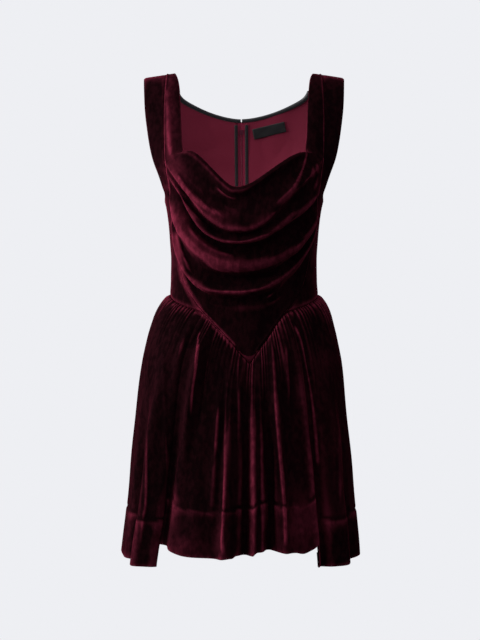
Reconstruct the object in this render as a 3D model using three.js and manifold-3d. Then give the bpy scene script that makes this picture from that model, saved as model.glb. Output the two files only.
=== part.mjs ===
// A worn mini dress of silk velvet, filled out with nobody in it.
// Millimetres, +Z up, the front faces -Y and the viewer's left is -X.
// The origin lies midway between the two shoulder seams, where the wearer holds the dress up.
// "drop" is always the distance below the shoulders, and an angle of 0 is the centre front.
import * as THREE from 'three';
import Module from 'manifold-3d';
import { mergeVertices } from 'three/addons/utils/BufferGeometryUtils.js';

// Cloth sizes
const VELVET = 1.7;
const LINING = 1.0;
const BINDING = 1.0;
const SEAM_GAP = 0.3;

// The body of the dress: half width, and how far the front and the back stand off the middle
const BODY_SECTIONS = [
  { drop: 0, halfWidth: 200, front: 0, back: 0 },
  { drop: 3, halfWidth: 200, front: 15, back: 13 },
  { drop: 9, halfWidth: 199.5, front: 26, back: 22 },
  { drop: 20, halfWidth: 199, front: 38, back: 32 },
  { drop: 38, halfWidth: 198, front: 52, back: 44 },
  { drop: 75, halfWidth: 194, front: 74, back: 62 },
  { drop: 125, halfWidth: 181, front: 97, back: 80 },
  { drop: 160, halfWidth: 167, front: 110, back: 88 },
  { drop: 190, halfWidth: 147, front: 118, back: 91 },
  { drop: 212, halfWidth: 133, front: 121, back: 92 },
  { drop: 240, halfWidth: 127.5, front: 121, back: 90 },
  { drop: 275, halfWidth: 124, front: 116, back: 86 },
  { drop: 310, halfWidth: 122, front: 107, back: 81 },
  { drop: 345, halfWidth: 122.5, front: 97, back: 78 },
  { drop: 366, halfWidth: 124, front: 93, back: 79 },
  { drop: 399, halfWidth: 130, front: 94, back: 86 },
  { drop: 440, halfWidth: 142, front: 98, back: 96 },
  { drop: 480, halfWidth: 152, front: 103, back: 104 },
];
const SECTION_POWER = 0.8;

// The shoulders slope down to the outside, and the slope fades down the chest
const SHOULDER = { middle: 143, slope: 0.16, fade: 40 };

// Seam between the cowl and the side front, and the inner and outer edges of the straps
const COWL_SEAM = [
  { drop: 0, x: 131 },
  { drop: 60, x: 132 },
  { drop: 125, x: 130.5 },
  { drop: 160, x: 128 },
  { drop: 200, x: 122.5 },
  { drop: 241, x: 118.5 },
  { drop: 281, x: 112.5 },
  { drop: 317, x: 105 },
  { drop: 346, x: 98.5 },
  { drop: 364, x: 91 },
  { drop: 382, x: 79.5 },
  { drop: 397, x: 67 },
];
const STRAP_INNER_EDGE = [
  { drop: 0, x: 118 },
  { drop: 5, x: 114 },
  { drop: 15, x: 110.5 },
  { drop: 37, x: 107 },
  { drop: 80, x: 104 },
  { drop: 130, x: 101 },
];
const ARMHOLE_EDGE = [
  { drop: 0, x: 168 },
  { drop: 57, x: 165 },
  { drop: 100, x: 160 },
  { drop: 140, x: 153 },
  { drop: 174, x: 141.5 },
  { drop: 190, x: 136 },
  { drop: 204, x: 132 },
  { drop: 212, x: 133 },
];
const UNDERARM_DROP = 212;

// Waist seam: level round the back, falling at the sides, then a point in front
const WAIST = { sideDrop: 366, cornerDrop: 397, cornerX: 67, tipDrop: 479, tipX: 9 };

// Rows of the cowl from the neckline to the point. The left and right ends lie on the seams, and between
// them a row hangs down to its low point. Lift is how far the velvet stands out there, and power is how
// square the hanging curve is. Scoop bends a row to the shape of the neckline.
const COWL_ROWS = [
  { left: 139, right: 139, low: 200, lowX: -5, scoop: 1, across: 0, lift: 8,
    powerLeft: 2.2, powerRight: 2 },
  { left: 140, right: 139.5, low: 206, lowX: -6, scoop: 0.85, across: 0.12, lift: 11,
    powerLeft: 2.2, powerRight: 2 },
  { left: 141.5, right: 140, low: 216, lowX: -6, scoop: 0.6, across: 0.45, lift: 5,
    powerLeft: 2.3, powerRight: 1.9 },
  { left: 145, right: 141.5, low: 232, lowX: -4, scoop: 0.3, across: 0.75, lift: 7,
    powerLeft: 2.4, powerRight: 1.8 },
  { left: 151, right: 146, low: 263, lowX: 0, scoop: 0, across: 1, lift: 16,
    powerLeft: 2.6, powerRight: 1.8 },
  { left: 158, right: 164, low: 273, lowX: -4, scoop: 0, across: 1, lift: 9,
    powerLeft: 2.7, powerRight: 1.8 },
  { left: 168, right: 196, low: 283, lowX: -8, scoop: 0, across: 1, lift: 16,
    powerLeft: 2.8, powerRight: 1.75 },
  { left: 184, right: 210, low: 291, lowX: -6, scoop: 0, across: 1, lift: -2,
    powerLeft: 2.6, powerRight: 1.8 },
  { left: 216, right: 230, low: 322, lowX: -2, scoop: 0, across: 1, lift: 15,
    powerLeft: 2.1, powerRight: 2 },
  { left: 234, right: 239, low: 343, lowX: -8, scoop: 0, across: 1, lift: 3,
    powerLeft: 2.4, powerRight: 2 },
  { left: 252, right: 247, low: 365, lowX: -14, scoop: 0, across: 1, lift: 14,
    powerLeft: 2.7, powerRight: 1.95 },
  { left: 286, right: 282, low: 378, lowX: -8, scoop: 0, across: 1, lift: 1,
    powerLeft: 2.6, powerRight: 2 },
  { left: 325, right: 325, low: 392, lowX: -3, scoop: 0, across: 1, lift: 2,
    powerLeft: 2.4, powerRight: 2 },
  { left: 365, right: 365, low: 410, lowX: 0, scoop: 0, across: 1, lift: 0,
    powerLeft: 2.1, powerRight: 2 },
  { left: 397, right: 397, low: 430, lowX: 3, scoop: 0, across: 1, lift: 0,
    powerLeft: 2, powerRight: 2 },
  { left: 432, right: 432, low: 452, lowX: 6, scoop: 0, across: 1, lift: 0,
    powerLeft: 2, powerRight: 2 },
  { left: 460, right: 460, low: 469, lowX: 8, scoop: 0, across: 1, lift: 0,
    powerLeft: 2, powerRight: 2 },
];
const LAST_STRAP_ROW = 4;
const CORNER_ROW = 14;
const LAST_WIDE_ROW = 13;
const LIFT_EDGE_POWER = 6;
const SCOOP_BEND = { left: { from: 0.12, to: 0.86 }, right: { from: -0.04, to: 1.02 } };
const SMALL_TURN = 1e-3;
const STRIP_BULGE = 2.5;
const STRIP_BULGE_FADE = 30;

// Skirt sections of the filled-out cloth, before its folds. Sway is how far it hangs off the middle.
const SKIRT_SECTIONS = [
  { drop: 366, halfWidth: 157, front: 112, back: 104, sway: 0 },
  { drop: 410, halfWidth: 158, front: 117, back: 113, sway: -2.5 },
  { drop: 440, halfWidth: 161.5, front: 120, back: 119, sway: -3 },
  { drop: 480, halfWidth: 167, front: 125, back: 125, sway: -3.5 },
  { drop: 544, halfWidth: 171.5, front: 132, back: 132, sway: -4 },
  { drop: 628, halfWidth: 178.5, front: 139, back: 140, sway: -4 },
  { drop: 712, halfWidth: 186, front: 146, back: 148, sway: -4.5 },
  { drop: 780, halfWidth: 193.5, front: 151, back: 153, sway: -6 },
  { drop: 820, halfWidth: 197, front: 154, back: 156, sway: -7 },
];
const FLARE_LENGTH = 28;

// The front panel runs between these angles, at the waist and at the hem
const FRONT_PANEL = { waist: 31, hem: 42.5 };

// The skirt hangs turned a little round the body, by this many degrees at the hem
const HEM_TURN = -2.6;
const CENTRE_BACK = 181.3;
const FAN_POWER = 0.7;
const HEM_BAND_DEPTH = 75;
const MEAN_HEM = 800;

// Height of the hem by hem angle: short in front, a step at each panel seam, longest beside it
const FRONT_HEM = [
  { angle: 0, drop: 785 },
  { angle: 25, drop: 782 },
  { angle: 42.5, drop: 768 },
];
const BACK_HEM = [
  { angle: 42.5, drop: 804 },
  { angle: 60, drop: 803 },
  { angle: 90, drop: 799 },
  { angle: 130, drop: 800 },
  { angle: 182, drop: 800 },
];

// Folds of the skirt, by hem angle: ridges stand out and valleys go in. "from" and "until" are shares
// of the way down between which a fold grows to its full height, and "fade" is the share where it ends.
const SKIRT_FOLDS = [
  { angle: -171, width: 5, height: 9, from: 0.1, until: 0.7, fade: 2 },
  { angle: -161, width: 4, height: -8, from: 0.1, until: 0.7, fade: 2 },
  { angle: -149, width: 6, height: 11, from: 0.05, until: 0.6, fade: 2 },
  { angle: -138, width: 4, height: -9, from: 0.15, until: 0.8, fade: 2 },
  { angle: -127, width: 5, height: 8, from: 0.1, until: 0.7, fade: 2 },
  { angle: -113, width: 6, height: -8, from: 0.1, until: 0.7, fade: 2 },
  { angle: -96, width: 7, height: 7, from: 0.1, until: 0.6, fade: 2 },
  { angle: -71, width: 5, height: -14, from: 0.15, until: 0.8, fade: 2 },
  { angle: -57, width: 6, height: 14, from: 0.05, until: 0.5, fade: 2 },
  { angle: -48, width: 2.6, height: 4, from: 0, until: 0.15, fade: 0.5 },
  { angle: -42.5, width: 3.4, height: -15, from: 0.1, until: 0.9, fade: 2 },
  { angle: -34.5, width: 3.2, height: 10, from: 0, until: 0.15, fade: 0.7 },
  { angle: -29.5, width: 2.2, height: -7, from: 0, until: 0.2, fade: 0.55 },
  { angle: -24, width: 6, height: 5, from: 0.3, until: 1, fade: 2 },
  { angle: -15.5, width: 2.4, height: 5, from: 0.1, until: 0.4, fade: 0.9 },
  { angle: -8.5, width: 2.8, height: 11, from: 0.02, until: 0.5, fade: 2 },
  { angle: -3.2, width: 1.8, height: 4, from: 0, until: 0.2, fade: 0.6 },
  { angle: 1.8, width: 2.2, height: -13, from: 0.15, until: 0.7, fade: 2 },
  { angle: 6, width: 2.4, height: 9, from: 0, until: 0.5, fade: 2 },
  { angle: 10.4, width: 1.8, height: 6, from: 0.05, until: 0.6, fade: 2 },
  { angle: 14, width: 2.4, height: -14, from: 0.15, until: 0.7, fade: 2 },
  { angle: 20.8, width: 3.2, height: 11, from: 0, until: 0.5, fade: 2 },
  { angle: 29, width: 2.4, height: 4, from: 0, until: 0.15, fade: 0.5 },
  { angle: 37.6, width: 3.6, height: 14, from: 0, until: 0.5, fade: 2 },
  { angle: 44, width: 3.2, height: -15, from: 0.05, until: 0.8, fade: 2 },
  { angle: 58, width: 7, height: 10, from: 0.1, until: 0.6, fade: 2 },
  { angle: 72, width: 5, height: -7, from: 0.2, until: 0.8, fade: 2 },
  { angle: 86, width: 6, height: 5, from: 0.1, until: 0.7, fade: 2 },
  { angle: 103, width: 6, height: -8, from: 0.1, until: 0.7, fade: 2 },
  { angle: 117, width: 6, height: 9, from: 0.1, until: 0.6, fade: 2 },
  { angle: 129, width: 4, height: -9, from: 0.15, until: 0.8, fade: 2 },
  { angle: 141, width: 6, height: 10, from: 0.05, until: 0.6, fade: 2 },
  { angle: 155, width: 4.5, height: -8, from: 0.1, until: 0.7, fade: 2 },
  { angle: 168, width: 5, height: 9, from: 0.1, until: 0.7, fade: 2 },
];

// Gathers sewn into the waist seam, four points to each
const GATHERS = {
  front: 22, back: 28, atSeam: 0.9, height: 2.2, rise: 8, length: 75, unevenness: 0.35, unevenTurn: 1.7,
};
const POINTS_PER_GATHER = 4;

// Centre back: the seam is shut by the zip, open a little at the top where the slider sits
const ZIP_OPENING = { half: 1.25, shutFrom: 94, shutAt: 102 };
const NECK_DEPTH = 70;
const NECK_CORNER_SHARE = 0.635;
const NECK_SCOOP = { share: 0.58, power: 1.6, cornerPower: 24 };
const ZIP_TAPE = { halfWidth: 8 };
const ZIP_EDGE_BINDING = { inner: 5.2, outer: 10.4 };
const NECK_BINDING_DEPTH = 7;
const NECK_BINDING_LOOSE = 1.2;
const LABEL = { x: 44, drop: 84, width: 57, height: 16.5, tilt: 13, thickness: 0.8, clear: 0.3 };
const SLIDER_DROP = 87;

// Points up each strap of the cowl, and the rows of its mesh, two to each row of its table above the
// plain point
const STRAP_SHARES = [1.12, 1.28, 1.45, 1.6, 1.75, 1.88, 2];
const LAST_FOLDED_ROW = 11;
const COWL_MESH_ROWS = COWL_ROWS.flatMap((_, row) => (row <= LAST_FOLDED_ROW ? [row, row + 0.5] : [row]));
const BOWL_CROWDING = 1.25;

// Rows down the bodice pieces: close together over the shoulder and at the underarm
const BODICE_DROPS = [0, 1.5, 5, 12, 25, 48, 80, 115, 150, 180, 198, 212, 232, 262, 300, 335, 366];
const BACK_DROPS = [0, 5, 14, 30, 60, 100, 145, 185, 212, 262, 312, 366];
const SKIRT_SHARES = [0, 0.025, 0.09, 0.22, 0.5, 1];
const FINE_SKIRT_ROWS = 1;

const radians = (degrees) => degrees * Math.PI / 180;
const mix = (a, b, share) => a + (b - a) * share;
const clamp01 = (value) => Math.min(1, Math.max(0, value));
const evenShares = (count) => Array.from({ length: count + 1 }, (_, i) => i / count);

function smoothStep(from, to, value) {
  const share = clamp01((value - from) / (to - from));
  return share * share * (3 - 2 * share);
}

function signedPower(value, power) {
  return Math.sign(value) * Math.abs(value) ** power;
}

// A smooth curve through one column of a table, read along another, that never overshoots a row
function tableCurve(rows, along, column, scale = (value) => value) {
  const places = rows.map((row) => scale(row[along]));
  const values = rows.map((row) => row[column]);
  const rises = places.slice(1).map((place, i) => (values[i + 1] - values[i]) / (place - places[i]));
  const slopes = values.map((_, i) => {
    const before = rises[Math.max(0, i - 1)];
    const after = rises[Math.min(rises.length - 1, i)];
    return before * after > 0 ? 2 * before * after / (before + after) : 0;
  });
  return (where) => {
    const place = Math.min(places.at(-1), Math.max(places[0], scale(where)));
    const last = places.length - 2;
    const i = Math.min(last, Math.max(0, places.findIndex((next) => next >= place) - 1));
    const width = places[i + 1] - places[i];
    const share = (place - places[i]) / width;
    const blend = share * share * (3 - 2 * share);
    return mix(values[i], values[i + 1], blend)
      + width * slopes[i] * share * (1 - share) ** 2
      - width * slopes[i + 1] * share * share * (1 - share);
  };
}

const halfWidthAt = tableCurve(BODY_SECTIONS, 'drop', 'halfWidth');
const frontDepthAt = tableCurve(BODY_SECTIONS, 'drop', 'front', Math.sqrt);
const backDepthAt = tableCurve(BODY_SECTIONS, 'drop', 'back', Math.sqrt);
const cowlSeamXAt = tableCurve(COWL_SEAM, 'drop', 'x');
const strapInnerXAt = tableCurve(STRAP_INNER_EDGE, 'drop', 'x', Math.sqrt);
const armholeXAt = tableCurve(ARMHOLE_EDGE, 'drop', 'x');

// A point of the dress's body. Facing is -1 on the front and 1 on the back.
function bodyPoint(angle, drop, facing) {
  const depth = facing < 0 ? frontDepthAt(drop) : backDepthAt(drop);
  const x = halfWidthAt(drop) * Math.sin(angle);
  const y = depth * signedPower(-facing * Math.cos(angle), SECTION_POWER) + SEAM_GAP / 2;
  const slope = SHOULDER.slope * (Math.abs(x) - SHOULDER.middle) * Math.exp(-drop / SHOULDER.fade);
  return new THREE.Vector3(x, facing * y, -drop - slope);
}

function angleAtX(x, drop) {
  return Math.asin(Math.min(1, Math.max(-1, x / halfWidthAt(drop))));
}

// The outward normal of a surface that is given by an angle, growing from front to back by the
// viewer's right, and a drop
function outwardNormal(surface, angle, drop) {
  const turn = 1e-4;
  const fall = 0.02;
  const across = surface(angle + turn, drop).sub(surface(angle - turn, drop));
  const down = surface(angle, drop + fall).sub(surface(angle, Math.max(0, drop - fall)));
  return down.cross(across).normalize();
}

const bodyNormal = (angle, drop, facing) =>
  outwardNormal((a, d) => bodyPoint(a, d, facing), angle, drop);

// A point of the body moved out along its normal, or in where the distance is negative
function bodyOffset(angle, drop, facing, distance) {
  return bodyPoint(angle, drop, facing).addScaledVector(bodyNormal(angle, drop, facing), distance);
}

// The angle of the outer edge of the bodice: the armhole, and below it the side seam
function outerEdgeAngle(drop) {
  return drop >= UNDERARM_DROP ? Math.PI / 2 : angleAtX(armholeXAt(drop), drop);
}

// How far the cowl reaches to one side at a drop: its seam, then the straight edge of the point
function cowlEdgeAngle(drop, side) {
  if (drop <= WAIST.cornerDrop) return side * angleAtX(cowlSeamXAt(drop), drop);
  const share = (drop - WAIST.cornerDrop) / (WAIST.tipDrop - WAIST.cornerDrop);
  return angleAtX(mix(side * WAIST.cornerX, WAIST.tipX, share), drop);
}

// Where the waist seam lies at an angle round the body
function waistDrop(angle) {
  const turned = Math.atan2(Math.sin(angle), Math.cos(angle));
  if (Math.abs(turned) >= Math.PI / 2) return WAIST.sideDrop;
  const side = Math.sign(turned - angleAtX(WAIST.tipX, WAIST.tipDrop)) || 1;
  const cornerAngle = angleAtX(WAIST.cornerX, WAIST.cornerDrop);
  if (Math.abs(turned) >= cornerAngle) {
    const share = (Math.abs(turned) - cornerAngle) / (Math.PI / 2 - cornerAngle);
    return mix(WAIST.cornerDrop, WAIST.sideDrop, share);
  }
  let drop = WAIST.cornerDrop;
  for (let pass = 0; pass < 12; pass += 1) {
    const x = halfWidthAt(drop) * Math.sin(turned);
    const share = (x - side * WAIST.cornerX) / (WAIST.tipX - side * WAIST.cornerX);
    drop = mix(WAIST.cornerDrop, WAIST.tipDrop, clamp01(share));
  }
  return drop;
}

// Two rows of points joined by triangles, each point with its share of the way along its row
function stitchRows(upper, lower) {
  const faces = [];
  let i = 0;
  let j = 0;
  while (i < upper.length - 1 || j < lower.length - 1) {
    const upperNext = i < upper.length - 1 ? upper[i + 1].share : Infinity;
    const lowerNext = j < lower.length - 1 ? lower[j + 1].share : Infinity;
    if (upperNext <= lowerNext) {
      faces.push([upper[i].index, lower[j].index, upper[i + 1].index]);
      i += 1;
    } else {
      faces.push([upper[i].index, lower[j].index, lower[j + 1].index]);
      j += 1;
    }
  }
  return faces;
}

// A closed wall between an outer and an inner face, with a strip along every open edge
function closedWall(outer, inner, faces) {
  const count = outer.length;
  const triangles = [];
  const edges = new Map();
  for (const [a, b, c] of faces) {
    triangles.push([a, b, c], [a + count, c + count, b + count]);
    for (const [from, to] of [[a, b], [b, c], [c, a]]) {
      edges.set(`${from} ${to}`, [from, to]);
    }
  }
  for (const [from, to] of edges.values()) {
    if (!edges.has(`${to} ${from}`)) {
      triangles.push([to, from, from + count], [to, from + count, to + count]);
    }
  }
  return closedBody([...outer, ...inner], triangles);
}

// A geometry from points and triangles, turned so that its faces point out
function closedBody(points, triangles) {
  let volume = 0;
  for (const [a, b, c] of triangles) {
    volume += points[a].dot(new THREE.Vector3().crossVectors(points[b], points[c]));
  }
  const geometry = new THREE.BufferGeometry();
  const order = volume > 0 ? triangles : triangles.map(([a, b, c]) => [a, c, b]);
  geometry.setAttribute('position', new THREE.Float32BufferAttribute(points.flatMap((p) => p.toArray()), 3));
  geometry.setIndex(order.flat());
  return geometry;
}

// A wall from rows of shares, where place(share, row) gives the outer and inner point
function wallFromRows(rowShares, place) {
  const outer = [];
  const inner = [];
  const faces = [];
  const rows = rowShares.map((shares, row) => shares.map((share) => {
    const spot = place(share, row);
    outer.push(spot.outer);
    inner.push(spot.inner);
    return { share, index: outer.length - 1 };
  }));
  for (let row = 1; row < rows.length; row += 1) {
    faces.push(...stitchRows(rows[row - 1], rows[row]));
  }
  return closedWall(outer, inner, faces);
}

// A layer on or under the body: its outer face lies "top" from the body's outer face
function layer(angle, drop, facing, top, thickness) {
  const normal = bodyNormal(angle, drop, facing);
  const point = bodyPoint(angle, drop, facing);
  return {
    outer: point.clone().addScaledVector(normal, top),
    inner: point.clone().addScaledVector(normal, top - thickness),
  };
}

// Cowl front
const cowlRowNumbers = COWL_ROWS.map((row, number) => ({ ...row, number }));
const cowlColumn = (column) => tableCurve(cowlRowNumbers, 'number', column);
const cowlLeftAt = cowlColumn('left');
const cowlRightAt = cowlColumn('right');
const cowlLowAt = cowlColumn('low');
const cowlLowXAt = cowlColumn('lowX');
const cowlPowerLeftAt = cowlColumn('powerLeft');
const cowlPowerRightAt = cowlColumn('powerRight');
const cowlScoopAt = cowlColumn('scoop');
const cowlAcrossAt = cowlColumn('across');
const cowlLiftAt = cowlColumn('lift');

const cowlEndAt = (row, side) => (side < 0 ? cowlLeftAt(row) : cowlRightAt(row));

// The edge of a row, between the strap's inner edge and the seam
function cowlStripAngle(across, drop, side) {
  const seam = cowlEdgeAngle(drop, side) - side * SEAM_GAP / 2 / halfWidthAt(drop);
  return mix(side * angleAtX(strapInnerXAt(drop), drop), seam, across);
}

// The angle, drop and lift of a cowl point. Across runs from -1 to 1 over the bust and on to -2 and 2
// up the straps.
function cowlPlace(across, row) {
  const side = across < 0 ? -1 : 1;
  const reach = Math.abs(across);
  const end = cowlEndAt(row, side);
  const strip = cowlAcrossAt(row);
  const bulge = STRIP_BULGE * Math.sin(Math.PI * strip);
  if (reach > 1) {
    const drop = end * (2 - reach) ** 2;
    const lift = bulge * (1 - Math.exp(-drop / STRIP_BULGE_FADE));
    return { angle: cowlStripAngle(strip, drop, side), drop, lift };
  }
  const low = cowlLowAt(row);
  const lowAngle = angleAtX(cowlLowXAt(row), low);
  const angle = mix(lowAngle, cowlStripAngle(strip, end, side), reach);
  const hanging = reach ** (side < 0 ? cowlPowerLeftAt(row) : cowlPowerRightAt(row));
  const bend = side < 0 ? SCOOP_BEND.left : SCOOP_BEND.right;
  const scooped = smoothStep(bend.from, bend.to, reach);
  const drop = mix(low, end, mix(hanging, scooped, cowlScoopAt(row)));
  const atEnd = reach ** LIFT_EDGE_POWER;
  return { angle, drop, lift: mix(cowlLiftAt(row), bulge, atEnd) };
}

function cowlPoint(across, row, liftShare) {
  const { angle, drop, lift } = cowlPlace(across, row);
  return bodyOffset(angle, drop, -1, lift * liftShare);
}

// The wall follows half of the lift, so that it stays whole in the tight folds, and the plain body at
// its seams
function cowlWallPoint(across, row) {
  if (Math.abs(across) >= 1) {
    const { angle, drop } = cowlPlace(across, row);
    const edge = cowlPoint(across, row, 1);
    return { outer: edge, inner: edge.clone().addScaledVector(bodyNormal(angle, drop, -1), -VELVET) };
  }
  const step = SMALL_TURN;
  const surface = (a, r) => cowlPoint(a, r, 0.5);
  const lastRow = COWL_ROWS.length - 1;
  const sideStep = surface(Math.min(2, across + step), row).sub(surface(Math.max(-2, across - step), row));
  const rowStep = surface(across, Math.min(lastRow, row + step))
    .sub(surface(across, Math.max(0, row - step)));
  const outer = cowlPoint(across, row, 1);
  const normal = rowStep.cross(sideStep).normalize();
  return { outer, inner: outer.clone().addScaledVector(normal, -VELVET) };
}

function cowlGeometry() {
  const half = evenShares(10).slice(1).map((share) => 1 - (1 - share) ** BOWL_CROWDING);
  const bowl = [...half.map((share) => -share).reverse(), 0, ...half];
  const whole = [...STRAP_SHARES.map((share) => -share).reverse(), ...bowl, ...STRAP_SHARES];
  const narrow = evenShares(8).map((share) => share * 2 - 1);
  const outer = [];
  const inner = [];
  const faces = [];
  let above = null;
  for (const row of COWL_MESH_ROWS) {
    const shares = row <= LAST_STRAP_ROW ? whole : row <= LAST_WIDE_ROW ? bowl : narrow;
    const points = shares.map((share) => {
      const spot = cowlWallPoint(share, row);
      outer.push(spot.outer);
      inner.push(spot.inner);
      return { share, index: outer.length - 1 };
    });
    const onlyBowl = (list) => list.filter((point) => Math.abs(point.share) <= 1);
    if (above) faces.push(...stitchRows(row <= LAST_STRAP_ROW ? above : onlyBowl(above), points));
    above = points;
  }
  const tip = layer(angleAtX(WAIST.tipX, WAIST.tipDrop), WAIST.tipDrop - 2, -1, 0, VELVET);
  outer.push(tip.outer);
  inner.push(tip.inner);
  faces.push(...stitchRows(above, [{ share: 0, index: outer.length - 1 }]));
  return closedWall(outer, inner, faces);
}

// The drops of the cowl's points along its seam, which the side front shares
const cowlSeamDrops = (side) => [
  ...STRAP_SHARES.map((share) => cowlEndAt(LAST_STRAP_ROW, side) * (2 - share) ** 2).reverse(),
  ...COWL_MESH_ROWS.filter((row) => row >= LAST_STRAP_ROW && row <= CORNER_ROW)
    .map((row) => cowlEndAt(row, side)),
];

// Side front with the outer half of the strap, built in lines down from the shoulder. Each line's
// points lie between a point of the cowl seam and one of the armhole or side seam.
function sideFrontGeometry(side) {
  const across = evenShares(5);
  const seamLevels = cowlSeamDrops(side).map((drop) => drop / WAIST.cornerDrop);
  const levels = BODICE_DROPS.map((drop) => drop / WAIST.sideDrop);
  return wallFromRows(across.map((_, line) => (line === 0 ? seamLevels : levels)), (level, line) => {
    const outerDrop = level * WAIST.sideDrop;
    const lengthening = (WAIST.cornerDrop - WAIST.sideDrop) * level ** 3;
    const seamDrop = line === 0 ? level * WAIST.cornerDrop : outerDrop + lengthening;
    const share = across[line];
    const lifted = line === 0 ? 0 : SEAM_GAP * level ** 8;
    const drop = mix(seamDrop, outerDrop, share) - lifted;
    const seam = Math.abs(cowlEdgeAngle(Math.min(seamDrop, WAIST.cornerDrop), side));
    const inset = SEAM_GAP / 2 / halfWidthAt(drop);
    const angle = mix(seam + inset, outerEdgeAngle(outerDrop), share);
    return layer(side * angle, drop, -1, 0, VELVET);
  });
}

// The back's top edge: the neckline, a round corner, then the shoulder
function backTopDrop(share) {
  const along = clamp01(share / NECK_CORNER_SHARE);
  const scoop = NECK_SCOOP.share * along ** NECK_SCOOP.power;
  const corner = (1 - NECK_SCOOP.share) * along ** NECK_SCOOP.cornerPower;
  return NECK_DEPTH * (1 - scoop - corner);
}

// The angle of a back point. Side is -1 for the viewer's left, share runs from the centre back to the
// armhole or side seam, and "inset" is the distance kept from the centre back.
function backAngle(share, drop, side, inset) {
  const centre = side > 0 ? radians(CENTRE_BACK) : radians(CENTRE_BACK - 360);
  const start = centre - side * inset / halfWidthAt(drop);
  return mix(start, side * (Math.PI - outerEdgeAngle(drop)), share);
}

function zipHalfGap(drop) {
  return mix(ZIP_OPENING.half, SEAM_GAP / 2, smoothStep(ZIP_OPENING.shutFrom, ZIP_OPENING.shutAt, drop));
}

// The columns of the back, which every layer inside it shares. The first lie at set distances from the
// centre back, at the edges of the zip's tape and bindings, and the rest at shares of the way round.
const NECK_SHARES = [0.2, 0.4, 0.58, 0.74, 0.86, 0.95, 1];
const BACK_COLUMNS = [
  { distance: 0, share: 0 },
  { distance: ZIP_EDGE_BINDING.inner, share: 0 },
  { distance: ZIP_TAPE.halfWidth, share: 0 },
  { distance: ZIP_EDGE_BINDING.outer, share: 0 },
  ...NECK_SHARES.map((share) => ({ distance: 0, share: share * NECK_CORNER_SHARE })),
  { distance: 0, share: 0.75 },
  { distance: 0, share: 0.87 },
  { distance: 0, share: 1 },
];
const BACK_LEVELS = BACK_DROPS.map((drop) => drop / WAIST.sideDrop);
const LAYER_GAP = 0.4;
const UNDER_PANEL = -VELVET - LAYER_GAP;
const UNDER_LINING = UNDER_PANEL - LINING - SEAM_GAP;

// A layer of the back, built in lines down from the neck: top is where its outer face lies
function backLayer(side, columns, levels, top, thickness) {
  return wallFromRows(columns.map(() => levels), (level, line) => {
    const { distance, share } = columns[line];
    const drop = mix(backTopDrop(share), WAIST.sideDrop - SEAM_GAP / 2, level);
    const angle = backAngle(share, drop, side, Math.max(distance, zipHalfGap(drop)));
    return layer(angle, drop, 1, top, thickness);
  });
}

function backGeometry(side) {
  return backLayer(side, BACK_COLUMNS, BACK_LEVELS, 0, VELVET);
}

// The lining starts beside the zip's tape
function liningGeometry(side) {
  const first = { distance: ZIP_TAPE.halfWidth + SEAM_GAP, share: 0 };
  const columns = [first, ...BACK_COLUMNS.slice(BACK_COLUMNS.findIndex((column) =>
    column.distance === ZIP_EDGE_BINDING.outer))];
  return backLayer(side, columns, BACK_LEVELS, UNDER_PANEL, LINING);
}

function zipTapeGeometry(side) {
  return backLayer(side, BACK_COLUMNS.slice(0, 3), BACK_LEVELS, UNDER_PANEL, LINING);
}

function zipBindingGeometry(side) {
  const start = (NECK_BINDING_DEPTH + SEAM_GAP) / (WAIST.sideDrop - NECK_DEPTH);
  const levels = [start, ...BACK_LEVELS.filter((level) => level > start)];
  return backLayer(side, BACK_COLUMNS.slice(1, 4), levels, UNDER_LINING, BINDING);
}

// A folded strip over the back neck edge: its section is worked out square to the edge
function neckBindingGeometry(side) {
  const path = [0, ...NECK_SHARES.filter((share) => share < 1)];
  const edge = (share) => {
    const drop = Math.max(backTopDrop(share), 0);
    return { drop, angle: backAngle(share, drop, side, ZIP_OPENING.half) };
  };
  const sectionAt = (loose) => {
    const outside = SEAM_GAP + loose;
    const inside = UNDER_LINING - loose;
    return [
      [-NECK_BINDING_DEPTH, outside],
      [outside, outside],
      [outside, inside],
      [-NECK_BINDING_DEPTH, inside],
      [-NECK_BINDING_DEPTH, inside - BINDING],
      [outside + BINDING, inside - BINDING],
      [outside + BINDING, outside + BINDING],
      [-NECK_BINDING_DEPTH, outside + BINDING],
    ];
  };
  const corners = sectionAt(0).length;
  const points = [];
  const triangles = [];
  path.forEach((along, ring) => {
    const share = along * NECK_CORNER_SHARE;
    const { angle, drop } = edge(share);
    const step = SMALL_TURN;
    const ahead = edge(Math.min(NECK_CORNER_SHARE, share + step));
    const behind = edge(Math.max(0, share - step));
    const here = bodyPoint(angle, drop, 1);
    const along3 = bodyPoint(ahead.angle, ahead.drop, 1).sub(bodyPoint(behind.angle, behind.drop, 1));
    const normal = bodyNormal(angle, drop, 1);
    const beyond = new THREE.Vector3().crossVectors(along3, normal).normalize();
    for (const [past, out] of sectionAt(NECK_BINDING_LOOSE * smoothStep(0.4, 0.9, along))) {
      points.push(here.clone().addScaledVector(beyond, side * past).addScaledVector(normal, out));
    }
    if (ring === 0) return;
    const first = (ring - 1) * corners;
    for (let i = 0; i < corners; i += 1) {
      const next = (i + 1) % corners;
      const [a, b] = [first + i, first + next];
      const [c, d] = [a + corners, b + corners];
      triangles.push([a, c, b], [b, c, d]);
    }
  });
  const outline = sectionAt(0).map(([past, out]) => new THREE.Vector2(past, out));
  const last = (path.length - 1) * corners;
  for (const [a, b, c] of THREE.ShapeUtils.triangulateShape(outline, [])) {
    triangles.push([a, b, c], [last + a, last + c, last + b]);
  }
  return closedBody(points, triangles);
}

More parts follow.
